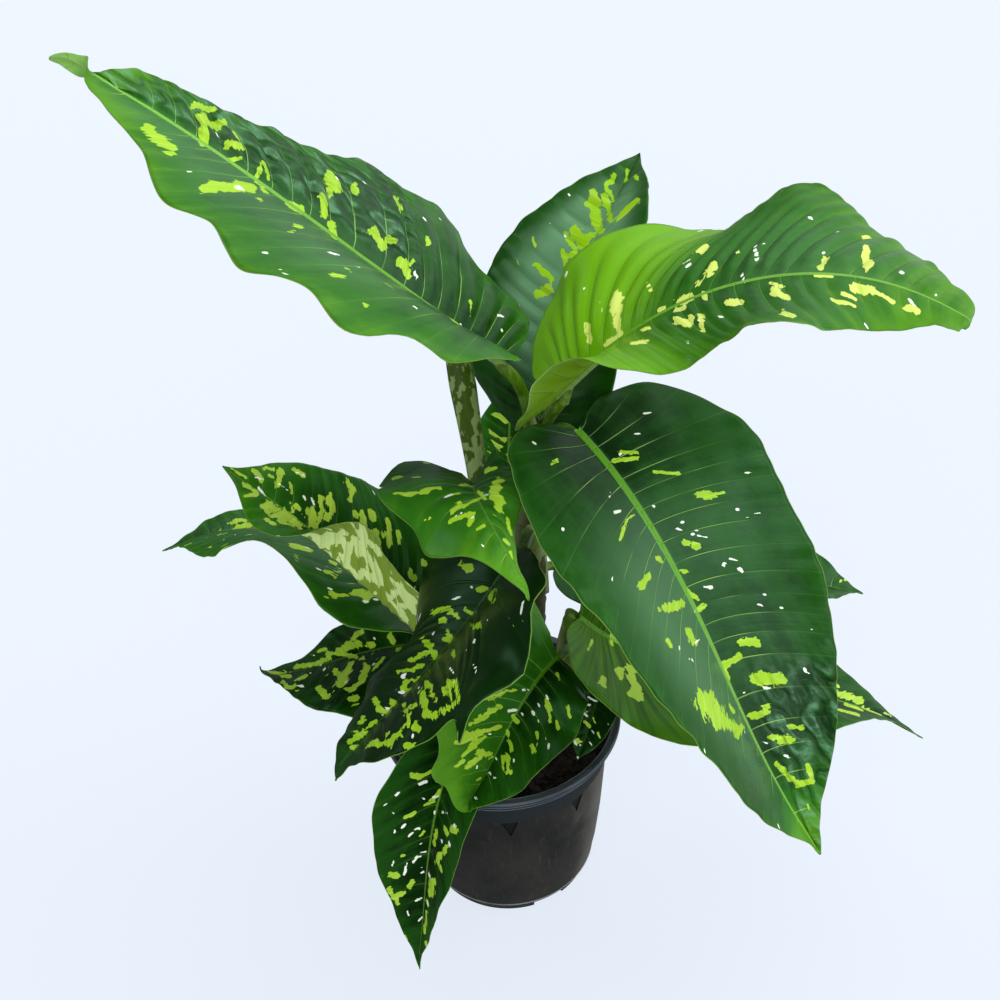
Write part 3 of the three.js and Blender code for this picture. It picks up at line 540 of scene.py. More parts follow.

# %% [markdown]
# ## Marks
# The yellow-green blotches and white flecks follow the side veins, because each grows in the
# strip of tissue between two of them. A painted picture would do, but strokes are lighter and
# stay sharp at any distance. The marks that show are listed one by one: each is two ends, at the
# pixels where they are seen in a 1000 pixel frame, and a thickness in pixels. The stroke is
# then carried back along the line of sight onto the blade that it lies on. Each point of the
# mesh stores how deep inside a mark it lies, and the material frays the edge. The marks that
# no one sees from the front are left to chance.

# %% The blotches of each leaf, as strokes in pixels
BLOTCHES = {
    "blade_front_right": [
        (619, 452, 639, 453, 4), (613, 461, 637, 458, 5), (653, 472, 680, 474, 3.5),
        (697, 494, 712, 496, 8), (712, 494, 724, 493, 3), (684, 542, 697, 547, 7),
        (681, 571, 688, 572, 4), (641, 586, 648, 577, 8), (664, 609, 681, 604, 10),
        (686, 591, 698, 599, 5), (698, 610, 704, 606, 6), (688, 631, 694, 643, 7),
        (666, 640, 670, 647, 4), (740, 641, 757, 643, 8), (722, 667, 728, 678, 5),
        (725, 665, 739, 656, 8), (757, 678, 779, 680, 13), (704, 700, 722, 722, 19),
        (722, 722, 736, 727, 12), (736, 736, 743, 727, 8), (729, 706, 733, 711, 5),
        (750, 716, 766, 712, 8), (762, 707, 769, 705, 4), (790, 727, 803, 728, 6),
        (773, 737, 790, 740, 9), (776, 764, 796, 783, 6), (796, 784, 812, 782, 6),
        (807, 765, 812, 781, 5), (620, 539, 626, 521, 4), (628, 518, 634, 515, 2.5),
        (550, 464, 557, 461, 4), (657, 558, 662, 562, 5), (808, 804, 810, 811, 2.5),
    ],
    "blade_upper_left": [
        (147, 129, 172, 150, 11), (206, 187, 252, 187, 11), (232, 186, 253, 190, 8),
        (194, 106, 214, 110, 6), (202, 116, 204, 142, 10), (208, 126, 222, 124, 8),
        (233, 133, 243, 150, 4), (227, 146, 240, 149, 8), (229, 160, 240, 160, 4),
        (261, 164, 256, 182, 5), (264, 164, 268, 180, 5), (262, 188, 267, 194, 5),
        (329, 175, 334, 192, 12), (320, 198, 325, 215, 8), (331, 224, 333, 240, 7),
        (353, 186, 354, 194, 6), (395, 198, 400, 211, 6), (371, 234, 383, 246, 10),
        (388, 238, 394, 243, 6), (398, 263, 412, 262, 7), (404, 263, 408, 276, 8),
        (426, 238, 427, 246, 5), (468, 303, 469, 317, 3), (451, 317, 457, 325, 6),
        (362, 304, 371, 307, 4), (330, 275, 345, 276, 4), (288, 205, 300, 212, 7),
        (286, 231, 295, 232, 3), (293, 225, 302, 228, 4), (256, 199, 262, 202, 3),
        (386, 283, 393, 291, 3), (345, 268, 352, 273, 3),
    ],
    "blade_upper_right": [
        (588, 325, 591, 341, 7), (619, 297, 619, 310, 11), (617, 318, 620, 336, 8),
        (607, 345, 616, 339, 7), (632, 345, 648, 341, 5), (649, 285, 651, 293, 4),
        (643, 331, 649, 330, 5), (680, 303, 688, 298, 11), (676, 310, 684, 308, 6),
        (679, 322, 690, 323, 11), (701, 315, 703, 330, 6), (697, 282, 699, 286, 6),
        (700, 254, 707, 249, 6), (707, 277, 716, 267, 6), (704, 294, 706, 300, 5),
        (728, 304, 742, 302, 7), (770, 283, 784, 287, 4), (775, 294, 786, 298, 9),
        (783, 312, 793, 316, 8), (820, 268, 826, 259, 6), (865, 253, 869, 268, 9),
        (864, 237, 870, 238, 4), (853, 287, 872, 292, 9), (872, 292, 893, 303, 5),
        (842, 294, 856, 300, 4), (832, 300, 854, 307, 4), (905, 308, 918, 312, 6),
        (660, 311, 664, 309, 5), (738, 257, 741, 254, 4), (815, 276, 834, 277, 2.5),
    ],
    "blade_upper_back": [
        (594, 196, 597, 222, 11), (597, 222, 603, 233, 9), (588, 203, 596, 206, 9),
        (608, 203, 611, 219, 6), (607, 187, 614, 177, 6), (606, 190, 610, 193, 5),
        (618, 220, 637, 201, 6), (626, 182, 628, 172, 4), (612, 197, 615, 203, 3),
        (565, 233, 576, 250, 6), (576, 232, 583, 246, 11), (584, 240, 592, 236, 7),
        (564, 252, 566, 267, 5), (567, 258, 576, 255, 6), (537, 266, 553, 280, 6),
        (540, 294, 549, 289, 10), (534, 238, 536, 246, 4), (518, 260, 521, 268, 2),
        (636, 177, 638, 180, 4),
    ],
    "blade_middle_front": [
        (495, 488, 500, 480, 9), (492, 492, 492, 499, 5), (497, 496, 499, 510, 13),
        (486, 471, 495, 469, 5), (393, 478, 401, 479, 5), (405, 495, 428, 492, 4),
        (420, 492, 440, 489, 4), (393, 493, 405, 493, 2.5), (412, 479, 420, 479, 2.5),
        (452, 512, 460, 504, 6), (450, 521, 470, 514, 5), (463, 507, 480, 498, 3),
        (470, 525, 474, 514, 5), (477, 530, 484, 526, 4), (460, 486, 475, 486, 3),
        (448, 497, 460, 494, 3), (507, 519, 510, 535, 4), (503, 541, 508, 545, 4),
        (478, 491, 485, 499, 4), (422, 522, 430, 518, 3), (510, 552, 512, 558, 3),
        (423, 463, 430, 465, 2.5),
    ],
    "blade_left_folded": [
        (231, 468, 245, 478, 3), (253, 471, 262, 480, 6), (266, 468, 273, 470, 4),
        (268, 476, 272, 478, 3), (277, 484, 281, 472, 7), (289, 483, 291, 493, 4),
        (294, 470, 303, 476, 5), (243, 484, 256, 492, 4), (246, 496, 257, 494, 5),
        (262, 505, 268, 513, 5), (266, 505, 286, 517, 9), (284, 510, 300, 525, 5),
        (273, 515, 292, 528, 7), (288, 520, 300, 528, 8), (290, 503, 293, 513, 3),
        (295, 505, 300, 510, 4), (310, 510, 314, 525, 8), (320, 498, 322, 510, 6),
        (322, 510, 320, 522, 7), (329, 498, 333, 508, 8), (333, 508, 328, 518, 8),
        (347, 482, 353, 490, 6), (352, 490, 350, 500, 6), (354, 512, 357, 518, 4),
        (361, 514, 363, 526, 7), (370, 512, 374, 520, 6), (375, 532, 378, 545, 9),
        (388, 520, 389, 545, 6), (398, 532, 399, 545, 5), (410, 572, 413, 578, 8),
        (422, 560, 424, 565, 5), (395, 575, 398, 590, 4), (265, 520, 275, 525, 3),
        (275, 537, 280, 537, 3.5),
    ],
    "blade_left_under": [
        (232, 523, 245, 520, 4), (238, 528, 260, 522, 6), (228, 531, 236, 529, 3),
        (222, 550, 234, 548, 4), (209, 549, 213, 548, 2.5), (185, 547, 192, 544, 2),
        (292, 546, 303, 550, 7), (296, 556, 297, 560, 4), (303, 551, 312, 552, 3),
        (322, 573, 330, 573, 4), (328, 563, 335, 565, 4), (335, 577, 341, 570, 4),
        (325, 597, 348, 595, 4), (330, 594, 336, 598, 6), (354, 593, 362, 592, 6),
        (365, 598, 374, 592, 9), (392, 612, 400, 613, 5),
    ],
    "blade_left_low": [
        (268, 673, 286, 674, 3), (281, 677, 290, 677, 4), (283, 683, 287, 686, 4),
        (286, 687, 293, 688, 4), (299, 680, 306, 676, 4), (296, 667, 320, 663, 5),
        (316, 663, 330, 658, 5), (328, 654, 345, 655, 5), (345, 656, 356, 657, 4),
        (338, 651, 352, 647, 7), (350, 645, 360, 644, 7), (352, 640, 357, 636, 5),
        (358, 634, 362, 632, 5), (318, 651, 326, 648, 3), (335, 672, 342, 676, 6),
        (340, 684, 347, 672, 9), (347, 672, 352, 664, 6), (352, 690, 360, 683, 5),
        (362, 680, 366, 668, 8), (366, 668, 364, 664, 5), (320, 690, 326, 696, 8),
        (350, 700, 357, 698, 5), (374, 670, 384, 658, 3), (368, 645, 374, 645, 6),
        (390, 636, 394, 642, 7), (345, 690, 350, 691, 3),
    ],
    "blade_centre": [
        (376, 700, 380, 710, 6), (380, 710, 388, 713, 6), (392, 702, 396, 706, 6),
        (361, 724, 366, 721, 6), (371, 725, 376, 724, 5), (356, 735, 364, 733, 6),
        (350, 742, 360, 738, 5), (352, 748, 358, 746, 5), (366, 746, 378, 744, 6),
        (386, 735, 389, 733, 4), (386, 744, 402, 735, 6), (390, 746, 396, 740, 5),
        (407, 746, 412, 745, 5), (404, 712, 416, 705, 5), (404, 705, 408, 715, 4),
        (409, 714, 411, 722, 3), (410, 727, 416, 728, 9), (412, 727, 418, 727, 7),
        (422, 690, 427, 715, 8), (432, 717, 446, 710, 6), (446, 710, 456, 703, 5),
        (456, 680, 458, 700, 4), (444, 690, 454, 682, 7), (448, 690, 451, 696, 4),
        (433, 695, 436, 701, 5), (427, 682, 432, 688, 6), (402, 690, 408, 682, 5),
        (408, 682, 420, 680, 5), (405, 690, 412, 690, 4), (398, 672, 412, 670, 4),
        (412, 670, 424, 665, 4), (420, 657, 432, 650, 5), (432, 650, 436, 658, 6),
        (410, 661, 416, 658, 5), (424, 640, 430, 645, 6), (428, 645, 434, 652, 5),
        (446, 630, 450, 637, 5), (444, 640, 452, 642, 4), (452, 650, 454, 658, 4),
        (434, 613, 446, 608, 6), (446, 608, 456, 616, 6), (441, 620, 446, 620, 5),
        (466, 610, 472, 614, 4), (470, 625, 478, 628, 5), (480, 622, 482, 626, 4),
        (478, 590, 486, 588, 5), (490, 590, 500, 592, 5), (490, 592, 494, 602, 6),
        (507, 620, 512, 626, 5), (518, 620, 522, 622, 5), (462, 566, 470, 568, 8),
    ],
    "blade_front_centre": [
        (470, 724, 480, 718, 5), (480, 718, 500, 706, 6), (496, 703, 500, 706, 4),
        (455, 742, 475, 738, 6), (462, 736, 478, 732, 7), (478, 732, 500, 726, 4),
        (470, 745, 485, 736, 5), (463, 755, 475, 745, 4), (477, 752, 488, 754, 8),
        (470, 763, 480, 757, 5), (466, 768, 474, 763, 4), (455, 767, 463, 761, 4),
        (513, 716, 517, 722, 5), (507, 730, 510, 740, 5), (510, 740, 513, 750, 4),
        (503, 758, 504, 763, 4), (508, 756, 510, 762, 6), (507, 768, 510, 772, 6),
        (537, 733, 538, 745, 3), (532, 746, 535, 752, 4), (546, 700, 549, 708, 5),
        (549, 714, 551, 722, 4), (557, 722, 558, 728, 5), (568, 708, 570, 716, 5),
        (500, 692, 516, 690, 3), (484, 700, 500, 694, 4), (476, 780, 480, 778, 3),
        (557, 674, 559, 680, 3),
    ],
    "blade_front_low": [
        (412, 775, 420, 777, 7), (420, 777, 432, 770, 3), (405, 817, 415, 812, 4),
        (390, 875, 396, 876, 7), (389, 890, 396, 900, 6), (392, 897, 400, 893, 5),
        (397, 895, 398, 903, 4), (402, 895, 405, 892, 3), (409, 887, 413, 881, 5),
        (437, 830, 435, 845, 4), (440, 855, 438, 862, 6), (433, 880, 432, 895, 6),
        (441, 866, 442, 872, 3), (443, 853, 447, 846, 5), (445, 828, 447, 834, 5),
        (453, 828, 456, 832, 6), (427, 900, 430, 905, 3), (428, 912, 427, 925, 5),
        (426, 925, 425, 932, 4), (426, 942, 427, 945, 3), (405, 936, 407, 943, 2.5),
        (430, 800, 440, 795, 3), (424, 805, 434, 801, 3), (420, 835, 424, 831, 3),
        (402, 855, 405, 854, 3), (436, 795, 440, 791, 4),
    ],
    "blade_right_low": [
        (600, 683, 604, 680, 6), (602, 677, 604, 688, 4), (617, 671, 622, 670, 6),
        (620, 675, 621, 678, 4), (628, 668, 634, 670, 8), (630, 676, 636, 692, 9),
        (632, 694, 640, 698, 10), (609, 635, 612, 645, 3), (613, 640, 616, 642, 5),
        (588, 650, 592, 640, 3), (665, 703, 668, 706, 4), (838, 694, 860, 701, 7),
        (846, 705, 862, 710, 5), (862, 709, 880, 715, 4), (838, 710, 858, 715, 4),
        (832, 682, 837, 687, 3), (884, 713, 890, 716, 2),
    ],
    "blade_right_back": [
        (845, 580, 850, 577, 3), (838, 571, 842, 572, 3), (856, 587, 860, 588, 2),
    ],
    "blade_in_pot": [
        (585, 722, 590, 727, 4), (598, 733, 600, 738, 3),
    ],
}
print("leaves with blotches:", len(BLOTCHES))

# %% The white flecks of each leaf, in the same way
FLECKS = {
    "blade_front_right": [
        (632, 434, 640, 434, 3), (644, 414, 651, 413, 3), (742, 472, 750, 473, 3),
        (752, 515, 759, 513, 4), (745, 518, 750, 519, 3), (614, 513, 620, 511, 5),
        (609, 497, 611, 492, 3), (583, 534, 586, 539, 3), (612, 576, 613, 582, 3),
        (649, 505, 656, 507, 3), (672, 516, 679, 517, 3), (674, 528, 682, 530, 3),
        (686, 530, 699, 531, 3), (696, 535, 703, 537, 3), (705, 537, 712, 538, 3),
        (727, 558, 738, 561, 3), (720, 564, 726, 567, 3), (737, 568, 742, 572, 5),
        (704, 586, 712, 588, 5), (757, 604, 764, 606, 4), (802, 667, 807, 674, 4),
        (783, 755, 788, 757, 4), (761, 742, 767, 743, 4), (692, 644, 700, 640, 3),
        (763, 688, 769, 688, 4), (774, 573, 777, 576, 3), (690, 659, 694, 661, 4),
    ],
    "blade_upper_left": [
        (236, 187, 243, 190, 6), (187, 172, 194, 173, 3), (260, 251, 270, 253, 3),
        (278, 272, 288, 275, 4), (328, 253, 338, 256, 4), (277, 165, 280, 173, 2),
        (216, 132, 219, 137, 3), (412, 271, 416, 280, 4), (425, 336, 427, 337, 3),
        (411, 308, 418, 311, 3), (499, 314, 502, 318, 3),
    ],
    "blade_upper_right": [
        (757, 250, 757, 262, 6), (742, 274, 744, 283, 5), (809, 221, 812, 222, 5),
        (764, 245, 766, 247, 3), (672, 258, 678, 254, 3), (695, 256, 690, 266, 3),
        (685, 268, 688, 272, 3), (601, 302, 603, 312, 3), (609, 279, 613, 275, 3),
        (719, 318, 723, 317, 4), (685, 344, 689, 343, 4), (898, 275, 901, 277, 4),
        (882, 259, 885, 260, 2), (908, 300, 914, 307, 3),
    ],
    "blade_middle_front": [
        (445, 498, 452, 495, 3), (455, 517, 462, 513, 3), (482, 545, 484, 547, 3),
        (472, 519, 475, 516, 3),
    ],
    "blade_left_folded": [
        (278, 484, 290, 494, 2), (311, 498, 315, 506, 3), (303, 497, 305, 501, 3),
        (258, 488, 265, 496, 3), (300, 512, 304, 518, 3), (255, 478, 264, 480, 3),
        (296, 473, 304, 476, 3),
    ],
    "blade_left_under": [
        (222, 540, 225, 541, 3), (232, 537, 236, 535, 2), (262, 522, 270, 526, 3),
        (332, 569, 341, 568, 2.5),
    ],
    "blade_left_low": [
        (310, 673, 311, 674, 2.5), (324, 671, 326, 669, 3), (373, 666, 375, 663, 2.5),
        (300, 686, 303, 686, 3), (298, 686, 304, 687, 2.5),
    ],
    "blade_centre": [
        (403, 677, 408, 674, 5), (396, 690, 398, 688, 3), (400, 692, 404, 693, 4),
        (386, 708, 388, 709, 4), (381, 716, 384, 715, 3), (433, 636, 435, 632, 3),
        (450, 668, 455, 674, 3), (475, 666, 476, 672, 4), (468, 652, 470, 652, 4),
        (474, 645, 476, 640, 2.5), (449, 618, 452, 622, 2.5), (452, 601, 460, 597, 2.5),
        (471, 587, 473, 590, 4), (488, 620, 492, 625, 2.5), (503, 603, 506, 607, 2.5),
        (508, 617, 509, 620, 3), (440, 693, 441, 694, 3),
    ],
    "blade_front_centre": [
        (496, 758, 500, 760, 4), (490, 773, 491, 774, 4), (495, 778, 496, 778, 4),
        (476, 768, 477, 766, 3), (538, 703, 539, 706, 4), (532, 712, 534, 714, 4),
        (546, 697, 549, 699, 4), (522, 690, 528, 690, 4), (508, 711, 516, 709, 4),
        (545, 737, 546, 740, 2.5), (522, 712, 523, 715, 3), (476, 798, 477, 799, 4),
        (538, 718, 539, 722, 3), (485, 736, 490, 733, 3), (515, 758, 515, 762, 2.5),
    ],
    "blade_front_low": [
        (395, 796, 399, 792, 3), (393, 813, 394, 814, 3), (394, 831, 395, 829, 3),
        (418, 784, 426, 781, 4), (402, 826, 405, 823, 3), (408, 835, 413, 831, 3),
        (415, 828, 420, 828, 3), (420, 843, 422, 842, 3), (421, 798, 424, 798, 3),
        (433, 797, 438, 796, 4), (434, 813, 435, 811, 4), (420, 852, 426, 851, 3),
        (392, 866, 394, 861, 3), (405, 868, 408, 862, 3), (404, 876, 406, 870, 4),
        (413, 862, 417, 857, 4), (421, 867, 423, 866, 2), (421, 873, 424, 871, 3),
        (430, 873, 431, 877, 4), (416, 900, 418, 899, 4), (420, 899, 422, 897, 3),
        (408, 910, 409, 915, 3), (419, 920, 422, 917, 3), (444, 812, 447, 813, 4),
        (442, 840, 443, 842, 4), (449, 842, 450, 846, 4), (454, 825, 456, 827, 4),
        (436, 781, 441, 778, 3),
    ],
    "blade_in_pot": [
        (588, 697, 598, 702, 3), (583, 703, 590, 705, 3), (583, 712, 587, 716, 3),
        (592, 730, 594, 733, 3), (575, 742, 577, 745, 2.5), (580, 745, 582, 746, 2.5),
        (590, 742, 592, 745, 2.5), (578, 757, 580, 762, 3),
    ],
}
print("leaves with flecks:", len(FLECKS))

# %% The cream patches that show on two lower faces
BELOW = {
    "blade_left_folded": [
        (298, 534, 326, 537, 4), (326, 536, 338, 537, 9), (336, 534, 345, 545, 9),
        (341, 531, 341, 536, 6), (308, 542, 326, 547, 7), (325, 553, 328, 556, 7),
        (348, 545, 347, 566, 8), (354, 541, 361, 552, 10), (362, 550, 375, 568, 9),
        (347, 567, 360, 578, 6), (362, 573, 378, 580, 9), (376, 570, 381, 582, 9),
        (367, 541, 376, 549, 5), (376, 549, 380, 555, 5), (390, 571, 393, 581, 4),
        (390, 597, 398, 592, 8), (397, 590, 402, 587, 6), (401, 583, 403, 590, 4),
        (400, 602, 406, 607, 6), (412, 600, 414, 612, 5),
    ],
    "blade_upper_right": [(553, 391, 565, 388, 2)],
}
print("lower faces with cream patches:", len(BELOW))

# %% From the picture back onto a blade, and how deep each point lies inside a mark
OUT_OF_SIGHT, OUTSIDE = 1000, -9.0
LEAST_STRETCH = 0.35  # a mark on a blade that leans away is laid no longer than this allows


def seen(points):
    """The pixels at which points in millimetres show."""
    right, up, back = (np.array(camera_matrix.col[k][:3]) for k in range(3))
    away = points - np.array(CAMERA_PLACE) / MM
    depth = -(away @ back)
    pixels = np.stack([away @ right, -(away @ up)], -1) * FOCAL_PIXELS / depth[..., None]
    return pixels + FRAME_PIXELS / 2


def view_of(grid, x, y):
    """Where each mesh point shows, and the pixels that a flat millimetre covers there."""
    pixels = seen(grid)
    flat = np.stack([np.stack([np.gradient(v, axis=k) for v in (x, y)], -1) for k in (0, 1)], -2)
    shown = np.stack([np.gradient(pixels, axis=k) for k in (0, 1)], -2)
    return pixels, np.linalg.solve(flat, shown)


def mark_depth(strokes, view, hidden, x, y):
    """How deep each point lies in a mark: 1 in a stroke's middle, 0 at its edge, less outside."""
    pixels, scale = view
    deepest = np.full(x.shape, OUTSIDE)
    for x0, y0, x1, y1, thick in strokes:
        middle = np.array([x0 + x1, y0 + y1]) / 2
        off = np.hypot(*np.moveaxis(pixels - middle, -1, 0)) + OUT_OF_SIGHT * hidden
        k = np.unravel_index(off.argmin(), off.shape)
        turn, stretch, flip = np.linalg.svd(scale[k])
        stretch = np.maximum(stretch, LEAST_STRETCH * stretch.max())
        near = np.stack([x - x[k], y - y[k]], -1) @ (turn * stretch) @ flip + pixels[k] - middle
        run = np.array([x1 - x0, y1 - y0]) / 2
        share = np.clip(near @ run / max(run @ run, 1e-6), -1, 1)
        gap = np.hypot(*np.moveaxis(near - share[..., None] * run, -1, 0))
        deepest = np.maximum(deepest, 1 - gap / (thick / 2))
    return deepest


print("strokes laid:", sum(len(laid) for kind in (BLOTCHES, FLECKS, BELOW) for laid in kind.values()))

# %% [markdown]
# ## Tone
# No two leaves of a plant have one green. The youngest are lime at the base, the oldest are
# almost black, and most are lighter towards the margin. One green for all would look cut from
# plastic, and fifteen materials would be fifteen times the work. So there is one material, and
# each leaf carries its own tone to it: its light and how that runs along it, its youth, how
# pale its marks are, how mottled it is, how far it puckers between its veins, how wide and how
# light its midrib is, and the greyish haze of a leaf that mirrors the sky. A leaf's light is
# partly its own green and partly painted shade and light: the low leaves are painted darker
# where the upper ones shade them. The haze is a painted reflection of the sky.

# %% The tone of every leaf
PLAIN_TONE = dict(
    light=(0.2, 0.2), margin=(0.35, 0.35), tip_light=0.1, young=(0, 0), pale=0.3, mottle=0.1,
    cream=0.2, quilt=(0.7, 0.7), dimple=(0.4, 0.4), dimple_from=0, rib=2.6, veins=0.4,
    vein_pitch=13, haze=(0, 0), haze_from=0.1, rib_light=0.6, pleat=0.4, ragged=1,
    run=((0, 0, 0), (1, 0, 0)),
)
# The low leaves' light is partly painted shade, where the upper leaves shade them, and a run paints
# light and shade along its blade as well as its own green.
TONES = {
    "blade_upper_left": dict(
        light=(0.14, -0.08), margin=(0.75, 0.6), tip_light=0.6, young=(0.1, 0.1), pale=0.12, mottle=0,
        quilt=(0.4, 2.8), dimple=(0.2, 1.5), rib=5.2, veins=1.0, haze=(0.2, 0.1), rib_light=1,
        run=((0, 0, 0), (0.6, 0, 0), (0.8, 0.1, 0.35), (1, 0.3, 0.9)),
    ),
    "blade_upper_right": dict(
        light=(0.42, 0.4), margin=(0.3, 0.4), tip_light=0.5, young=(1.15, 0.8), pale=0.8, mottle=0,
        quilt=(3.4, 1.3), dimple=(0.5, 0.5), rib=3.6, veins=0.3, vein_pitch=10, haze=(0.12, 0.05),
        haze_from=0.4, rib_light=1, pleat=0.6,
    ),
    "blade_front_right": dict(
        light=(-0.05, -0.05), margin=(0.3, 0.25), pale=0.12, mottle=0, quilt=(0.25, 0.2),
        dimple=(1.5, 0.3), dimple_from=0.38, rib=5.4, veins=0.9, haze=(0.1, 0.3), rib_light=0.85,
        pleat=0.08,
        run=((0, -0.35, -0.3), (0.2, -0.1, -0.05), (0.5, -0.2, 0), (0.72, -0.5, -0.1),
             (0.84, 0.15, 0.15), (0.92, 1.0, 0.9), (1, 1.3, 1.3)),
    ),
    "blade_upper_back": dict(
        light=(-0.1, -0.1), margin=(0.2, 0.2), pale=0.0, mottle=0, veins=0.25, quilt=(2.2, 2.2),
        dimple=(0.6, 0.6), haze=(0.7, 0.7), rib_light=0.3,
    ),
    "blade_middle_front": dict(
        light=(0.15, 0.25), margin=(0.4, 0.4), pale=0.12, mottle=0, veins=0.5, rib=1.6,
        rib_light=0.3, run=((0, -0.45, -0.45), (0.35, 0, 0), (1, 1.0, 1.0)),
    ),
    "blade_left_folded": dict(
        light=(-0.02, -0.02), margin=(0.35, 0.35), tip_light=0.75, pale=0.25, mottle=0, cream=1,
        quilt=(1.2, 1.2), vein_pitch=10, rib_light=0.5, ragged=1.3,
    ),
    "blade_left_under": dict(
        light=(0.0, 0.0), margin=(0.4, 0.4), pale=0.2, quilt=(1.4, 1.4), vein_pitch=11,
        haze=(0.15, 0.15),
    ),
    "blade_left_low": dict(
        light=(-0.35, -0.25), margin=(0.25, 0.25), pale=0.15, veins=0.2, rib_light=0.3,
    ),
    "blade_centre": dict(
        light=(-0.75, -0.7), margin=(0.1, 0.1), tip_light=0.6, pale=0.05, mottle=0, veins=0.1,
        quilt=(0.5, 0.5), rib_light=0.2, ragged=1.7,
    ),
    "blade_front_centre": dict(
        light=(-0.25, 0.45), margin=(0.45, 1.0), tip_light=0.4, pale=0.15, mottle=0, veins=0.5,
        rib_light=0.45, ragged=1.4,
    ),
    "blade_front_low": dict(
        light=(-0.3, -0.3), margin=(0.35, 0.35), tip_light=0.2, pale=0.15, mottle=0, veins=0.25,
        rib_light=0.5,
    ),
    "blade_right_low": dict(
        light=(-0.42, -0.42), margin=(0.6, 0.6), young=(0.4, 1.1), pale=0.25, mottle=0, veins=0.2,
        rib=3,
    ),
    "blade_right_back": dict(light=(-0.15, -0.15), margin=(0.3, 0.3)),
    "blade_in_pot": dict(light=(-0.45, -0.45), margin=(0.1, 0.1), veins=0.1, rib_light=0.1),
    "blade_small_back": dict(mottle=0.5),
}
print("leaves with a tone:", len(TONES))

# %% [markdown]
# ## The blades
# A blade is a thin sheet that swells between its side veins and carries a thick midrib under
# it. A flat sheet with a bump pattern would give that away at its outline and wherever the
# light grazes it. So the swelling, the midrib and a gentle unevenness are in the mesh, and only
# the finest grooves are left to the material.

# %% A closed sheet from two grids of points
BAKE_MARGIN = 0.01


def closed_sheet(name, upper, lower, materials, named=None, bake_chart=None):
    """A solid skin between two grids of the same size, upper face first, in millimetres."""
    count = upper[..., 0].size
    index = np.arange(count).reshape(upper.shape[:2])
    a, b, c, d = index[:-1, :-1], index[1:, :-1], index[1:, 1:], index[:-1, 1:]
    top = np.stack([a, b, c, d], -1).reshape(-1, 4)
    under = np.stack([a, d, c, b], -1).reshape(-1, 4) + count
    rim = np.concatenate([index[0, :-1], index[:-1, -1], index[-1, :0:-1], index[:0:-1, 0]])
    nxt = np.roll(rim, -1)
    sides = np.stack([rim, nxt, nxt + count, rim + count], -1)
    faces = np.vstack([top, under, sides])
    mesh = bpy.data.meshes.new(name)
    points = np.vstack([upper.reshape(-1, 3), lower.reshape(-1, 3)]) * MM
    mesh.from_pydata(points.tolist(), [], faces.tolist())
    for material in materials:
        mesh.materials.append(material)
    slots = np.zeros(len(faces), dtype=np.int32)
    slots[len(top):len(top) + len(under)] = len(materials) - 1
    mesh.polygons.foreach_set("material_index", slots)
    mesh.polygons.foreach_set("use_smooth", np.ones(len(faces), dtype=bool))
    for key, values in (named or {}).items():
        add_vectors(mesh, key, np.vstack([values.reshape(-1, 3)] * 2))
    if bake_chart is not None:
        add_bake_map(mesh, bake_chart)
    mesh.update()
    return stand(name, mesh)


def add_vectors(mesh, name, vectors):
    """A named vector for every point, which a material can read."""
    layer = mesh.attributes.new(name, "FLOAT_VECTOR", "POINT")
    layer.data.foreach_set("vector", vectors.astype(np.float32).ravel())


def add_bake_map(mesh, chart):
    """Lays the upper face on the map's left half and the lower face on its right half."""
    flat = chart.reshape(-1, 2)
    flat = (flat - flat.min(0)) / np.ptp(flat, axis=0)
    half = flat * (0.5 - 2 * BAKE_MARGIN, 1 - 2 * BAKE_MARGIN) + BAKE_MARGIN
    both = np.vstack([half, half + (0.5, 0)])
    corners = np.empty(len(mesh.loops), dtype=np.int32)
    mesh.loops.foreach_get("vertex_index", corners)
    layer = mesh.uv_layers.new(name="OFBake", do_init=False)
    layer.uv.foreach_set("vector", both[corners].astype(np.float32).ravel())


def normals_of(grid):
    """Which way each point of a grid faces."""
    normal = np.cross(np.gradient(grid, axis=0), np.gradient(grid, axis=1))
    return normal / np.maximum(np.linalg.norm(normal, axis=-1, keepdims=True), 1e-12)


print("sheets are ready, with a bake margin of", BAKE_MARGIN)

# %% [markdown]
# A blade's mesh needs rows that follow the side veins and columns that crowd at the midrib.
# An even grid would need four times the points for the same midrib. The rows are spaced evenly
# along the midrib, so that no vein gets fewer points than the next.

# %% The rows and columns of a blade
ROW_PITCH, EXTRA_ROWS, ROW_TRIALS = 1.3, 12, 900
FIRST_ROW, LAST_ROW = 0.004, 0.997
EVEN_ON_RIB, EVEN_ON_EDGE = 0.8, 0.2  # how far the rows are even on the midrib and on the outline
MARGIN_COLUMNS = 27
RIB_COLUMNS = (0, 0.007, 0.014, 0.022, 0.032, 0.045, 0.065)


def rows_for(leaf):
    """Row places that are even along the midrib, with more round the base."""
    t = np.linspace(FIRST_ROW, LAST_ROW, ROW_TRIALS)
    root = outline(leaf, t)[:, 2]
    reach = EVEN_ON_RIB * (root - root[0]) / (root[-1] - root[0])
    reach = reach + EVEN_ON_EDGE * (t - t[0]) / (t[-1] - t[0])
    return np.interp(np.linspace(0, 1, round(leaf["length"] / ROW_PITCH) + EXTRA_ROWS), reach, t)


def columns():
    """Column places from -1 at the right margin to 1 at the left one."""
    half = np.concatenate([RIB_COLUMNS, np.linspace(RIB_COLUMNS[-1], 1, MARGIN_COLUMNS + 1)[1:]])
    return np.concatenate([-half[:0:-1], half])


long_rows = rows_for(leaf_values("blade_upper_left"))
print("the longest leaf:", len(long_rows), "rows,", len(columns()), "columns")

# %% [markdown]
# Between its side veins the blade swells like a quilt, most near the midrib and hardly at all
# at the margin. Three slow waves of chance make it uneven as well: a wide one over the whole
# leaf, a finer one where it puckers, and one that lifts the margin. The midrib stands a little
# proud above and far more below.

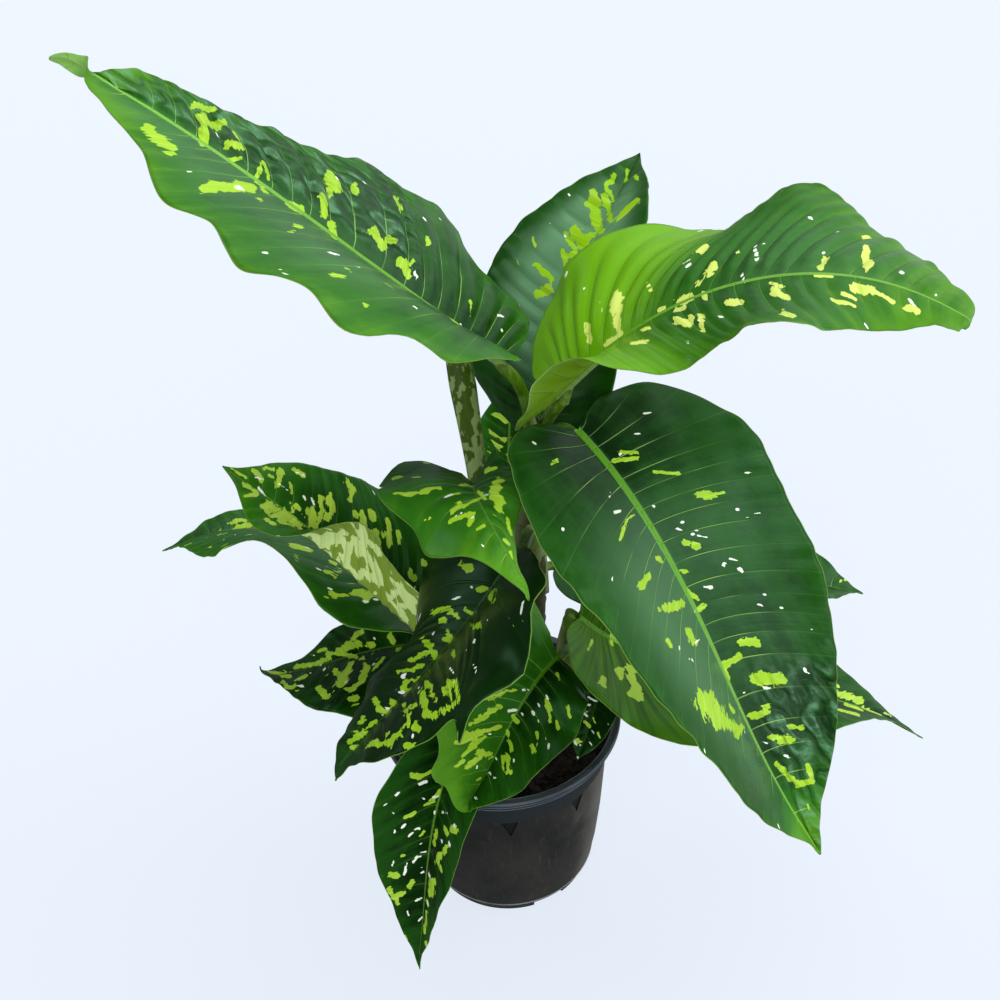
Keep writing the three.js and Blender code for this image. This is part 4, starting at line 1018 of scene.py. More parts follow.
# %% The swelling of a blade
SHEET_THICKNESS = 0.5
VEIN_ROOM, VEIN_CROWD = 3, 0.72  # veins beyond the counted ones, and how they crowd at the base
RUMPLE_WAVES, RUMPLE_LENGTHS = 7, (22, 60)
QUILT_SINK, QUILT_FLAT = 0.45, 0.8  # how deep it starts, and how much is lost at the margin
PUCKER_PITCH, MARGIN_PITCH = 2.6, 2.2  # how many times finer than the wide unevenness
WIDE_UNEVEN, PUCKER_UNEVEN, MARGIN_UNEVEN = 0.5, 0.35, 0.8
RIB_ABOVE, RIB_BELOW = 0.28, 1.5  # its height as a share of its half width


def rising(value, start, length):
    """Rises gently from 0 at the start to 1 a length further on."""
    return smooth((value - start) / length)


def rumple(x, y, seed):
    """A slow unevenness, from -1 to 1, that never repeats over a leaf."""
    chance = np.random.default_rng(seed)
    total = np.zeros_like(x)
    for _ in range(RUMPLE_WAVES):
        heading, turn = chance.uniform(0, 2 * np.pi, 2)
        length = chance.uniform(*RUMPLE_LENGTHS)
        total += np.sin((x * math.cos(heading) + y * math.sin(heading)) * 2 * np.pi / length + turn)
    return total / RUMPLE_WAVES ** 0.5 / 1.5


def count_veins(leaf, tone, s, left, root, seed):
    """How many side veins lie below each point. The veins are where the count is whole."""
    veins = VEIN_ROOM + leaf["length"] / tone["vein_pitch"]
    side_shift = np.where(np.abs(s)[None] < 1e-9, 0.25, np.where(left, 0.5, 0.0))
    uneven_pitch = 0.3 * np.sin(9 * root + seed) + 0.2 * np.sin(23 * root + 2 * seed + 2 * left)
    evenly = veins * np.clip(root, 0, 1) ** VEIN_CROWD
    return evenly + side_shift + uneven_pitch * rising(root, 0, 0.1)


def swelling(tone, vein, left, root, share):
    """How far the sheet swells between its veins, in millimetres."""
    swell = np.abs(np.sin(np.pi * vein)) ** 0.7 - QUILT_SINK
    calm = rising(share, 0.05, 0.2) * (1 - QUILT_FLAT * rising(share, 0.5, 0.45))
    swell *= calm * rising(root, 0, 0.06) * smooth((1 - root) / 0.2) * np.where(left, *tone["quilt"])
    return swell


def unevenness(x, y, share, dimple, seed):
    """How far the sheet is uneven by chance, in millimetres."""
    uneven = WIDE_UNEVEN * rumple(x, y, seed) * rising(share, 0.1, 0.4)
    pucker = rumple(PUCKER_PITCH * x, PUCKER_PITCH * y, seed + 50)
    uneven += PUCKER_UNEVEN * pucker * dimple * rising(share, 0, 0.2)
    uneven += MARGIN_UNEVEN * rumple(MARGIN_PITCH * x, MARGIN_PITCH * y, seed + 90) * share ** 4
    return uneven


print("the midrib stands", RIB_BELOW, "of its half width below the blade")

# %% [markdown]
# The finish reads its numbers from the points of the mesh: how many veins lie below, how deep
# the point is in a mark, and its leaf's tone there. Painted maps would be sharper in one place
# only, and each leaf would need its own.

# %% The tone of a point
def tone_at(tone, left, root, share):
    """Light, haze, youth and mottling of each point."""
    light = np.where(left, *tone["light"]) + np.where(left, *tone["margin"]) * share ** 2.5
    light = light + tone["tip_light"] * rising(root, 0.5, 0.5)
    run_place, *run_light = zip(*tone["run"])
    light = light + np.where(left, *(np.interp(root, run_place, change) for change in run_light))
    # The haze is a painted reflection of the sky, fading towards the margin and the tip.
    haze = np.where(left, *tone["haze"]) * (1 - rising(share, 0.5, 0.45))
    haze = haze * rising(root, tone["haze_from"], 0.2) * smooth((0.95 - root) / 0.3)
    young = tone["young"][0] * (1 - rising(root, 0.05, 0.45)) * np.where(left, 1, tone["young"][1])
    mottle = tone["mottle"] * (1 - 0.8 * rising(share, 0.55, 0.4)) * rising(root, 0, 0.06)
    return light, haze, young, mottle


# The names under which a blade carries its numbers, three in each vector.
CARRIED = {
    "leaf_chart": "x y seed", "leaf_veins": "vein root edge", "leaf_marks": "blotch fleck mottle",
    "leaf_tone": "light young pale", "leaf_rib": "rib show dimple", "leaf_below": "below cream ragged",
    "leaf_more": "haze rib_light pleat",
}
print("numbers that a point carries:", sum(len(keys.split()) for keys in CARRIED.values()))

# %% One blade
def blade(name, seed):
    """One blade as a piece of its own, which carries all its numbers."""
    leaf = leaf_values(name)
    tone = {**PLAIN_TONE, **TONES[name]}
    s, t = columns(), rows_for(leaf)
    x, y, root = blade_flat(leaf, t, s)
    grid = bend(leaf, x, y)
    facing = normals_of(grid)
    share, left = np.abs(s)[None] + 0 * x, y >= 0

    vein = count_veins(leaf, tone, s, left, root, seed)
    dimple = np.where(left, *tone["dimple"]) * rising(root, tone["dimple_from"], 0.3)
    swell, uneven = swelling(tone, vein, left, root, share), unevenness(x, y, share, dimple, seed)
    rib = tone["rib"] / 2 * (0.12 + 0.88 * (1 - root) ** 0.8)
    ridge = np.clip(1 - (y / rib) ** 2, 0, 1)
    thin = SHEET_THICKNESS / 2 * (1 - 0.5 * share ** 6)
    top = swell + uneven + RIB_ABOVE * rib * ridge ** 0.7
    under = swell + uneven - RIB_BELOW * rib * ridge ** 0.8 * smooth((1 - root) / 0.3)
    upper = grid + facing * (thin + top)[..., None]
    lower = grid + facing * (under - thin)[..., None]

    light, haze, young, mottle = tone_at(tone, left, root, share)
    view = view_of(grid, x, y)
    away = (facing * (np.array(CAMERA_PLACE) / MM - grid)).sum(-1) < 0
    blotch, fleck = (mark_depth(laid.get(name, []), view, away, x, y) for laid in (BLOTCHES, FLECKS))
    below = mark_depth(BELOW.get(name, []), view, ~away, x, y)
    numbers = dict(
        x=root * leaf["length"], y=y, seed=seed, vein=vein, root=root, edge=share,
        blotch=blotch, fleck=fleck, mottle=mottle, below=below, cream=tone["cream"],
        ragged=tone["ragged"], light=light, young=young, pale=tone["pale"], rib=rib,
        show=tone["veins"], dimple=dimple, haze=haze, rib_light=tone["rib_light"], pleat=tone["pleat"],
    )
    flat = np.ones_like(x)
    named = {vector: np.stack([flat * numbers[key] for key in keys.split()], -1)
             for vector, keys in CARRIED.items()}
    chart = np.stack([np.broadcast_to(s, x.shape), np.linspace(0, 1, len(t))[:, None] + 0 * x], -1)
    piece = closed_sheet("leaf_" + name[6:], upper, lower, [leaf_top, leaf_under], named, chart)
    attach(piece, "root")
    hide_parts(name)
    return piece


print("blades to make:", len(LEAVES))

# %% [markdown]
# ## The leaf's finish
# The upper face is glossy and deep green. Its marks have frayed edges that run with the veins,
# so the fraying noise is stretched that way too. The side veins are thin pale lines in shallow
# grooves. The lower face is duller and more olive, and its marks are cream. Both are built from
# the numbers that each blade carries, so one recipe serves every leaf.

# %% The marks that both faces share
FRAY_FINE, FRAY_WIDE = (1.5, 2.4), (3.2, 5.5)  # along and across the leaf, in millimetres
PATCH_LESS, PATCH_EDGE = -0.28, 14
SPECK_CELL, SPECK_SIZE = (3.4, 6.0), 0.29


def patchy(leaf, n, along, across, seed=0.0, detail=2.0, roughness=0.5):
    """A noise over the flat leaf, whose patches are so long and wide in millimetres."""
    place = leaf.spot(leaf.over(n["x"], along), leaf.over(n["y"], across), seed)
    return leaf.noise(place, 1.0, detail, roughness)


def add_marks(leaf, n, seed, fray, patch_size, patch_start, by_chance, by_hand):
    """How far each point is marked and flecked, from the strokes and from chance."""
    ragged = patchy(leaf, n, *FRAY_FINE, seed)
    lumpy = patchy(leaf, n, *FRAY_WIDE, leaf.plus(seed, 3.1))
    frayed = leaf.sway(lumpy, 2 * fray, leaf.times(leaf.less(ragged, 0.5), fray))
    frayed = leaf.times(frayed, n["ragged"])
    patches = patchy(leaf, n, *patch_size, seed, 1.5)
    level = leaf.add_some(n[by_chance], PATCH_LESS, patch_start)
    patch = leaf.times(leaf.less(patches, level), PATCH_EDGE)
    patch = leaf.sum("MINIMUM", patch, leaf.add_some(n[by_chance], 400, -10))
    depth = leaf.plus(leaf.sum("MAXIMUM", n[by_hand], patch), frayed)
    n["marked"] = leaf.squeeze(depth, -0.02, 0.16)
    along, across = leaf.over(n["x"], SPECK_CELL[0]), leaf.over(n["y"], SPECK_CELL[1])
    speck = leaf.cells(leaf.spot(along, across, seed))
    chosen = leaf.sum("LESS_THAN", leaf.chance(speck), leaf.add_some(n["mottle"], 0.16, 0.03))
    small = leaf.times(leaf.less(SPECK_SIZE, speck["Distance"]), chosen)
    laid = leaf.add_some(frayed, 0.7, n["fleck"])
    n["flecked"] = leaf.squeeze(leaf.sum("MAXIMUM", leaf.times(small, 4), laid), 0.3, 0.45)


def leaf_pattern(leaf, **marking):
    """The numbers of a leaf, with its marks, its veins and its slow and fine unevenness."""
    n = {}
    for vector, keys in CARRIED.items():
        n.update(zip(keys.split(), leaf.named(vector)))
    seed = leaf.times(n["seed"], 7.3)
    add_marks(leaf, n, seed, **marking)
    phase = leaf.sum("FRACT", n["vein"])
    n["off_vein"] = leaf.less(0.5, leaf.sum("ABSOLUTE", leaf.less(phase, 0.5)))
    nearest = leaf.sum("FLOOR", leaf.plus(n["vein"], 0.5))
    for key, run, width, detail in (("strong", leaf.times(nearest, 3.7), 30, 1.0),
                                    ("fine", leaf.times(n["vein"], 5.5), 45, 2.0)):
        n[key] = leaf.noise(leaf.spot(run, leaf.over(n["y"], width), seed), 1.0, detail)
    n["cloud"] = patchy(leaf, n, 38, 26, seed, 3.0)
    n["on_rib"] = leaf.squeeze(leaf.less(n["rib"], leaf.sum("ABSOLUTE", n["y"])), -0.15, 0.3)
    return n


print("specks are up to", 2 * SPECK_SIZE, "of their cell")

# %% The greens of the upper face
DEEPEST, DEEP, MIDDLE, PALE = (
    (0.0025, 0.018, 0.0012), (0.010, 0.066, 0.003), (0.026, 0.140, 0.006), (0.085, 0.260, 0.008))
LIME, PAINTED_SKY_REFLECTION, PAINTED_CREASE_HIGHLIGHT = (0.155, 0.410, 0.003), (0.170, 0.370, 0.185), (0.170, 0.380, 0.220)

top = Recipe("leaf_top")
n = leaf_pattern(
    top, fray=1.1, patch_size=(4.2, 9), patch_start=0.72, by_chance="mottle", by_hand="blotch")
grain = patchy(top, n, 5, 7, n["seed"], 3.0, 0.65)
# The leaf's light brings painted shade and light into the green, as well as its own tone.
shade = top.sway(n["cloud"], 0.9, n["light"])
shade = top.sway(n["fine"], 0.28, shade)
shade = top.sway(grain, 0.5, shade)
# Lighter along the veins and darker between them: partly the leaf's own banding and partly painted
# shade and light of its pleats.
shade = top.add_some(top.less(0.25, n["off_vein"]), n["pleat"], shade)
# Painted shade: the creases between the puckers are darkened in the colour.
crease = top.sum("ABSOLUTE", top.less(patchy(top, n, 22, 13, n["seed"], 1.2), 0.5))
creased = top.times(top.squeeze(n["dimple"], 0.9, 1.5), top.squeeze(n["edge"], 0.1, 0.3))
painted_crease_shade = top.times(top.squeeze(crease, 0.0, 0.04, 1, 0), creased)
shade = top.add_some(painted_crease_shade, -0.5, shade)
green = top.blend(top.squeeze(shade, -0.45, 0.05), DEEPEST, DEEP)
green = top.blend(top.squeeze(shade, 0.05, 0.55), green, MIDDLE)
green = top.blend(top.squeeze(shade, 0.5, 1.25), green, PALE)
youth = top.sway(n["fine"], 0.5, n["young"])
green = top.blend(top.squeeze(youth, 0.15, 0.95), green, LIME)
# Painted reflection: the green is blended towards the grey green of a mirrored sky.
green = top.blend(n["haze"], green, PAINTED_SKY_REFLECTION)
# Painted highlight: the rims beside the creases are lightened as if they caught the sky.
painted_crease_highlight = top.times(top.squeeze(crease, 0.05, 0.13), top.squeeze(crease, 0.13, 0.24, 1, 0))
painted_crease_highlight = top.times(top.times(painted_crease_highlight, creased), top.squeeze(grain, 0.4, 0.6, 0.1, 0.5))
green = top.blend(painted_crease_highlight, green, PAINTED_CREASE_HIGHLIGHT)
print("greens:", len(top.tree.nodes), "nodes")

# %% Its veins, marks and midrib
VEIN, MARK_LIME, MARK_CREAM, MARK_STREAK = (
    (0.36, 0.62, 0.14), (0.29, 0.56, 0.004), (0.86, 0.94, 0.22), (0.55, 0.80, 0.09))
FLECK, RIB_AT_BASE, RIB_AT_TIP, EDGE_LINE = (
    (0.95, 1.0, 0.86), (0.110, 0.340, 0.004), (0.20, 0.46, 0.06), (0.16, 0.28, 0.05))

vein_line = top.squeeze(n["off_vein"], 0.004, 0.026, 1, 0)
vein_fade = top.times(top.squeeze(n["edge"], 0.25, 0.75, 1, 0.08), top.squeeze(n["strong"], 0.3, 0.6))
vein_line = top.times(top.times(vein_line, vein_fade), n["show"])
green = top.blend(top.times(vein_line, 0.9), green, VEIN)
mark = top.blend(n["pale"], MARK_LIME, MARK_CREAM)
mark = top.blend(top.squeeze(n["fine"], 0.5, 0.75, 0, 0.6), mark, MARK_STREAK)
colour = top.blend(n["marked"], green, mark)
colour = top.blend(n["flecked"], colour, FLECK)
rib_colour = top.blend(top.squeeze(n["root"], 0.0, 0.75), RIB_AT_BASE, RIB_AT_TIP)
colour = top.blend(top.times(n["on_rib"], n["rib_light"]), colour, rib_colour)
colour = top.blend(top.squeeze(n["edge"], 0.992, 0.999), colour, EDGE_LINE)
print("with veins and marks:", len(top.tree.nodes), "nodes")

# %% Its grooves and gloss
PORE_DEPTH, GROOVE_DEPTH, PUCKER_DEPTH, CREASE_DEPTH = 0.06 * MM, 0.28 * MM, 0.8 * MM, 2.0 * MM
GREEN_GLINT = (0.35, 0.95, 0.45, 1)

groove = top.times(top.squeeze(n["off_vein"], 0.0, 0.06, 1, 0), vein_fade)
puckers = top.times(patchy(top, n, 10, 8, n["seed"], 1.5), n["dimple"])
puckers = top.times(puckers, top.squeeze(n["edge"], 0.05, 0.3))
skin = top.relief(patchy(top, n, 1.1, 1.1), PORE_DEPTH)
skin = top.relief(top.add_some(n["fine"], 0.35, top.less(1, groove)), GROOVE_DEPTH, skin)
skin = top.relief(puckers, PUCKER_DEPTH, skin)
skin = top.relief(top.times(top.squeeze(crease, 0.0, 0.13), creased), CREASE_DEPTH, skin)
gloss = top.squeeze(n["cloud"], 0.3, 0.7, 0.27, 0.38)
leaf_top = top.done(
    Base_Color=colour, Roughness=gloss, Specular_IOR_Level=0.2, Specular_Tint=GREEN_GLINT, Normal=skin)
print("upper face:", len(top.tree.nodes), "nodes")

# %% The lower face
OLIVE_DARK, OLIVE, OLIVE_CREAM = (0.025, 0.075, 0.030), (0.040, 0.110, 0.030), (0.200, 0.310, 0.030)
OLIVE_YOUNG, OLIVE_PAINTED_LIGHT, VEIN_BELOW = (0.150, 0.290, 0.006), (0.190, 0.410, 0.080), (0.2, 0.3, 0.1)
CREAM, CREAM_PALE = (0.50, 0.68, 0.20), (0.68, 0.80, 0.34)
RIB_BELOW_COLOUR, EDGE_BELOW, OLIVE_GLINT = (0.22, 0.36, 0.09), (0.36, 0.46, 0.20), (0.6, 0.95, 0.6, 1)

under = Recipe("leaf_under")
n = leaf_pattern(
    under, fray=1.0, patch_size=(8, 9), patch_start=0.86, by_chance="cream", by_hand="below")
olive = under.blend(under.squeeze(n["cloud"], 0.3, 0.7), OLIVE_DARK, OLIVE)
olive = under.blend(under.squeeze(n["cream"], 0.3, 0.9), olive, OLIVE_CREAM)
olive = under.blend(under.squeeze(n["young"], 0.1, 0.9), olive, OLIVE_YOUNG)
# Painted light: the lower face is lightened where its leaf's light is high.
olive = under.blend(under.squeeze(n["light"], 0.6, 1.1), olive, OLIVE_PAINTED_LIGHT)
vein_line = under.times(under.squeeze(n["off_vein"], 0.0, 0.05, 1, 0), 0.4)
olive = under.blend(vein_line, olive, VEIN_BELOW)
colour = under.blend(n["marked"], olive, under.blend(n["fine"], CREAM, CREAM_PALE))
colour = under.blend(n["on_rib"], colour, RIB_BELOW_COLOUR)
colour = under.blend(under.squeeze(n["edge"], 0.986, 0.998), colour, EDGE_BELOW)
raised = under.add_some(n["fine"], 0.4, under.squeeze(n["off_vein"], 0, 0.06, 1, 0))
leaf_under = under.done(
    Base_Color=colour, Roughness=0.5, Specular_IOR_Level=0.2, Specular_Tint=OLIVE_GLINT,
    Normal=under.relief(raised, 0.25 * MM))
print("lower face:", len(under.tree.nodes), "nodes")

# %% All the blades
leaf_pieces = [blade(name, seed) for seed, name in enumerate(LEAVES, 1)]
print("blades:", len(leaf_pieces), "faces:", sum(len(p.data.polygons) for p in leaf_pieces))

# %% [markdown]
# ## Canes and petioles
# A cane is the plant's stem. It is ringed with the scars of the leaves that it has dropped.
# Each living leaf hangs on a petiole, whose lower half is a sheath round the cane and whose
# upper half is a rod with a channel along its top. A plain tube would show neither. So
# each stalk is a section carried along a curve, and the section changes on the way, from a
# sheath with two thin wings to a nearly round rod.

# %% Where the stalks run, from the solid model, in millimetres
CANES = {
    "cane_main": dict(foot=(18, 10), top=(26, 6, 268), thick=9),
    "cane_left": dict(foot=(-12, -21), top=(-6, -18, 252), thick=7.5),
    "cane_right": dict(foot=(40, -8), top=(43, -8, 172), thick=7),
}
# For each leaf: its height on the cane, its half thickness at the cane and at the blade, how
# far it rises along the cane, and how far it runs in line with its blade.
PETIOLES = {
    "cane_main": {
        "blade_upper_left": (262, 7, 3.4, 55, 16), "blade_upper_right": (258, 7, 4, 45, 20),
        "blade_front_right": (236, 7, 4, 70, 18), "blade_upper_back": (240, 6.5, 3.4, 30, 16),
        "blade_centre": (205, 6, 3, 60, 16), "blade_right_back": (170, 5.5, 2.8, 40, 14),
        "blade_small_back": (190, 5, 1.6, 40, 14),
    },
    "cane_left": {
        "blade_middle_front": (222, 5.4, 2.8, 40, 16), "blade_left_folded": (160, 5.5, 3, 30, 12),
        "blade_left_under": (150, 5.5, 3, 30, 12), "blade_left_low": (140, 5, 2.4, 26, 12),
        "blade_front_low": (134, 5, 2.8, 55, 16),
    },
    "cane_right": {
        "blade_front_centre": (150, 5.5, 2.8, 36, 14), "blade_right_low": (160, 6, 3.4, 30, 14),
        "blade_in_pot": (140, 4, 2, 16, 8),
    },
}
SOIL_TOP, STRAIGHT_TO, CANE_FOOT, CANE_TAPER = 108, 118, 40, 0.25


def cane_point(cane, height):
    """Where a cane's middle is at each height. It stands upright first and leans further up."""
    share = np.maximum(0, (height - STRAIGHT_TO) / (cane["top"][2] - STRAIGHT_TO))
    lean = (share * share * (3 - share) / 2)[:, None]
    foot, top = np.array(cane["foot"]), np.array(cane["top"][:2])
    return np.column_stack([foot + (top - foot) * lean, height])


def bezier(a, b, c, d, t):
    """A curve that leaves a towards b and comes to d from c."""
    t = t[:, None]
    return a * (1 - t) ** 3 + 3 * b * t * (1 - t) ** 2 + 3 * c * t * t * (1 - t) + d * t**3


print("petioles:", sum(len(p) for p in PETIOLES.values()))

# %% A stalk from a path and a changing section
def unit(vectors):
    """The same directions, each with a length of 1."""
    return vectors / np.linalg.norm(vectors, axis=1, keepdims=True)


def swept(path, across, outward, rise):
    """The rings of a section carried along a path. outward and rise give each ring's section."""
    tangent = unit(np.gradient(path, axis=0))
    up = unit(np.cross(tangent, across))
    side = np.cross(up, tangent)
    return path[:, None] + side[:, None] * outward[..., None] + up[:, None] * rise[..., None]


def add_stalk(parts, ring, numbers):
    """Adds a closed stalk, made from its rings, to a list of parts."""
    rings, sides = ring.shape[:2]
    index = np.arange(rings * sides).reshape(rings, sides)
    after = np.roll(index, -1, 1)
    faces = np.stack([index[:-1], after[:-1], after[1:], index[1:]], -1).reshape(-1, 4).tolist()
    faces += [index[0, ::-1].tolist(), index[-1].tolist()]
    start = sum(len(points) for points, *_ in parts)
    faces = [[v + start for v in face] for face in faces]
    parts.append((ring.reshape(-1, 3), faces, numbers.reshape(-1, 3)))


def joined(name, parts, material):
    """One piece from parts, each with its points, its faces and maybe its numbers."""
    mesh = bpy.data.meshes.new(name)
    points, faces, *numbers = zip(*parts)
    mesh.from_pydata((np.vstack(points) * MM).tolist(), [], [f for some in faces for f in some])
    mesh.materials.append(material)
    if numbers:
        add_vectors(mesh, "stalk", np.vstack(numbers[0]))
    mesh.polygons.foreach_set("use_smooth", [len(p.vertices) == 4 for p in mesh.polygons])
    mesh.update()
    return stand(name, mesh)


print("stalks are joined with one finish each")

# %% The section of a petiole
STALK_SIDES = 36
CHANNEL, PETIOLE_TAPER = 0.35, 0.6
HOLLOW_DEPTH, HOLLOW_WIDTH = 0.30, 0.45  # in shares of the petiole's half thickness, like the rest
WING_PLACE, WING_WIDTH, EDGE_HEIGHT, WING_SPREAD = 0.8, 0.16, 0.12, 0.1
SHEATH_TO, SHEATH_FADES = 0.25, 0.45


def petiole_section(t, wide, narrow, wing):
    """A rod with a channel along its top, whose edges stand up as wings near the cane."""
    angle = 2 * np.pi * (np.arange(STALK_SIDES) + 0.5) / STALK_SIDES
    radius = (narrow + (wide - narrow) * (1 - smooth(t / PETIOLE_TAPER)))[:, None]
    out, high = np.cos(angle)[None], np.sin(angle)[None]
    rise = np.where(high > 0, high * (1 - CHANNEL), high)
    hollow = HOLLOW_DEPTH * np.exp(-(out / HOLLOW_WIDTH) ** 2) * (high > 0)
    edge = np.exp(-((np.abs(out) - WING_PLACE) / WING_WIDTH) ** 2) * (high > 0)
    standing = (wing * (1 - rising(t, SHEATH_TO, SHEATH_FADES)))[:, None]
    rise = rise - hollow + edge * (EDGE_HEIGHT + standing)
    numbers = np.stack([np.ones_like(rise), t[:, None] + 0 * rise, edge * smooth(standing * 4)], -1)
    return radius * out * (1 + WING_SPREAD * edge * standing), radius * rise, numbers


print("sections have", STALK_SIDES, "points")

# %% The stem's finish
SHEATH_DARK, SHEATH_LIGHT = (0.040, 0.075, 0.006), (0.110, 0.165, 0.020)
ROD_DARK, ROD_LIGHT = (0.045, 0.110, 0.004), (0.120, 0.230, 0.010)
PETIOLE_PATCH, PAPERY, WING_EDGE = (0.19, 0.29, 0.06), (0.16, 0.12, 0.055), (0.36, 0.42, 0.20)
BARK_DARK, BARK_LIGHT = (0.030, 0.036, 0.008), (0.090, 0.100, 0.030)
WOODY_DARK, WOODY_LIGHT = (0.035, 0.030, 0.012), (0.11, 0.095, 0.045)
WOODY_TO, GREEN_FROM, AGE_SWAY = 150, 215, 40  # heights in millimetres


def drawn_out(recipe, squash):
    """The place on a piece, squashed in height, so that a noise is drawn out upward."""
    axis = recipe.parts(recipe.place())
    return recipe.spot(axis[0], axis[1], recipe.times(axis[2], squash))


stem = Recipe("stem")
height_mm = stem.over(stem.parts(stem.place())[2], MM)
streak = stem.noise(drawn_out(stem, 0.22), 420, 4.0, 0.65)
blotches = stem.noise(drawn_out(stem, 0.5), 170, 3.0, 0.6)
is_petiole, along_stalk, wing_edge = stem.named("stalk")
sheath = stem.blend(stem.squeeze(streak, 0.35, 0.65), SHEATH_DARK, SHEATH_LIGHT)
rod = stem.blend(stem.squeeze(streak, 0.3, 0.7), ROD_DARK, ROD_LIGHT)
petiole = stem.blend(stem.squeeze(along_stalk, 0.25, 0.7), sheath, rod)
petiole = stem.blend(stem.squeeze(blotches, 0.55, 0.62, 0, 0.5), petiole, PETIOLE_PATCH)
papery = stem.squeeze(stem.less(blotches, stem.times(along_stalk, 0.6)), 0.38, 0.46)
petiole = stem.blend(stem.times(papery, 0.7), petiole, PAPERY)
petiole = stem.blend(stem.times(wing_edge, 0.8), petiole, WING_EDGE)
bark = stem.blend(stem.squeeze(streak, 0.3, 0.7), BARK_DARK, BARK_LIGHT)
woody = stem.blend(stem.squeeze(streak, 0.3, 0.7), WOODY_DARK, WOODY_LIGHT)
age = stem.squeeze(stem.add_some(streak, AGE_SWAY, height_mm), WOODY_TO, GREEN_FROM, 1, 0)
bark = stem.blend(age, bark, woody)
stem_finish = stem.done(
    Base_Color=stem.blend(is_petiole, bark, petiole), Specular_IOR_Level=0.3,
    Roughness=stem.squeeze(streak, 0.3, 0.7, 0.36, 0.5), Normal=stem.relief(streak, 0.5 * MM))
print("stem:", len(stem.tree.nodes), "nodes")

# %% A cane on its own
CANE_RINGS = 110
SCAR_PITCH, FIRST_SCAR, LAST_SCAR, SCAR_STRAY = 15, 6, 8, 3
SCAR_LIP, SCAR_LIP_WIDTH, SCAR_GROOVE, SCAR_GROOVE_WIDTH, SCAR_STEP = 0.45, 1.6, 0.35, 1.3, 2.6
WOBBLE, WOBBLE_LENGTH = 0.03, 17


def add_cane(parts, values, chance):
    """A tapering cane, with a lip and a groove where each old leaf came off."""
    height = np.linspace(CANE_FOOT, values["top"][2], CANE_RINGS)
    path = cane_point(values, height)
    t = (height - CANE_FOOT) / np.ptp(height)
    radius = values["thick"] * (1 - CANE_TAPER * t * t)
    scars = np.arange(SOIL_TOP + FIRST_SCAR, values["top"][2] - LAST_SCAR, SCAR_PITCH)
    for scar in scars + chance.uniform(-SCAR_STRAY, SCAR_STRAY, len(scars)):
        radius = radius + SCAR_LIP * np.exp(-((height - scar) / SCAR_LIP_WIDTH) ** 2)
        radius = radius - SCAR_GROOVE * np.exp(-((height - scar - SCAR_STEP) / SCAR_GROOVE_WIDTH) ** 2)
    angle = 2 * np.pi * np.arange(STALK_SIDES) / STALK_SIDES
    turn = 3 * angle[None] + height[:, None] / WOBBLE_LENGTH + chance.uniform(0, 6)
    wobble = 1 + WOBBLE * np.sin(turn)
    sideways = np.broadcast_to((1.0, 0, 0), path.shape)
    ring = swept(path, sideways, radius[:, None] * np.cos(angle) * wobble,
                 radius[:, None] * np.sin(angle) * wobble)
    add_stalk(parts, ring, np.zeros(ring.shape))


print("rings on a cane:", CANE_RINGS)

# %% Each cane with its petioles
PETIOLE_RINGS = 60
RUN_ON, RUN_ON_THIN = 10, 0.35  # a petiole runs on under the midrib, and thins to this share
BELOW_BLADE, WING_HEIGHT = 0.3, 0.9


def add_petiole(parts, cane_values, leaf, start, wide, narrow, up, reach):
    """A petiole that leaves its cane at the start height and runs on under the leaf's midrib."""
    run_on = 2 + round(RUN_ON / leaf["length"] * RIB_STEPS)
    _, place, along, across, normal = (part[:run_on] for part in midrib(leaf))
    thin = np.linspace(1, RUN_ON_THIN, run_on)[:, None]
    under = place - normal * (narrow * (1 - CHANNEL) * thin + BELOW_BLADE)
    a = cane_point(cane_values, np.array([start]))
    t = np.linspace(0, 1, PETIOLE_RINGS)
    curve = bezier(a, a + (0, 0, up), under[:1] - along[:1] * reach, under[:1], t)
    curve = np.vstack([curve, under[1:]])
    t = np.concatenate([t, np.ones(run_on - 1)])
    out, rise, numbers = petiole_section(t, wide, narrow, WING_HEIGHT)
    thin = np.vstack([np.ones((PETIOLE_RINGS, 1)), thin[1:]])
    sideways = np.vstack([np.repeat(across[:1], PETIOLE_RINGS, 0), across[1:]])
    add_stalk(parts, swept(curve, sideways, out * thin, rise * thin), numbers)


def cane(name, seed):
    """One cane with its petioles, as one piece."""
    parts = []
    add_cane(parts, CANES[name], np.random.default_rng(seed))
    for leaf_name, numbers in PETIOLES[name].items():
        add_petiole(parts, CANES[name], leaf_values(leaf_name), *numbers)
    piece = joined(name + "_growth", parts, stem_finish)
    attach(piece, "root")
    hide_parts(name)
    return piece


cane_pieces = [cane(name, seed) for seed, name in enumerate(CANES, 31)]
print("canes:", [len(p.data.polygons) for p in cane_pieces], "faces")

# %% [markdown]
# ## The furled leaf
# The newest leaf is still rolled up like a sheet of paper, with its lower face outward. A solid
# spike would have no seam. So it is a real sheet wound twice round, with its free edge running
# up the outside in a long slant.

# %% The furled leaf as a wound sheet
FURLED_KNOTS = np.array([(-9, -12, 252.5), (-4, -6, 291), (-9, 9, 352), (-11, 13, 378)], float)
FURLED_RADII = (2.2, 3.4, 5.4, 7.2, 6.4, 1.2)
FURLED_ROWS, FURLED_COLUMNS = 110, 120
ROLL_TURNS, ROLL_SLANT, ROLL_START, ROLL_SHEET = 2.15, 2.4, 2.6, 0.55
ROLL_TIGHTENS = 0.30  # how much smaller the innermost turn is than the outermost


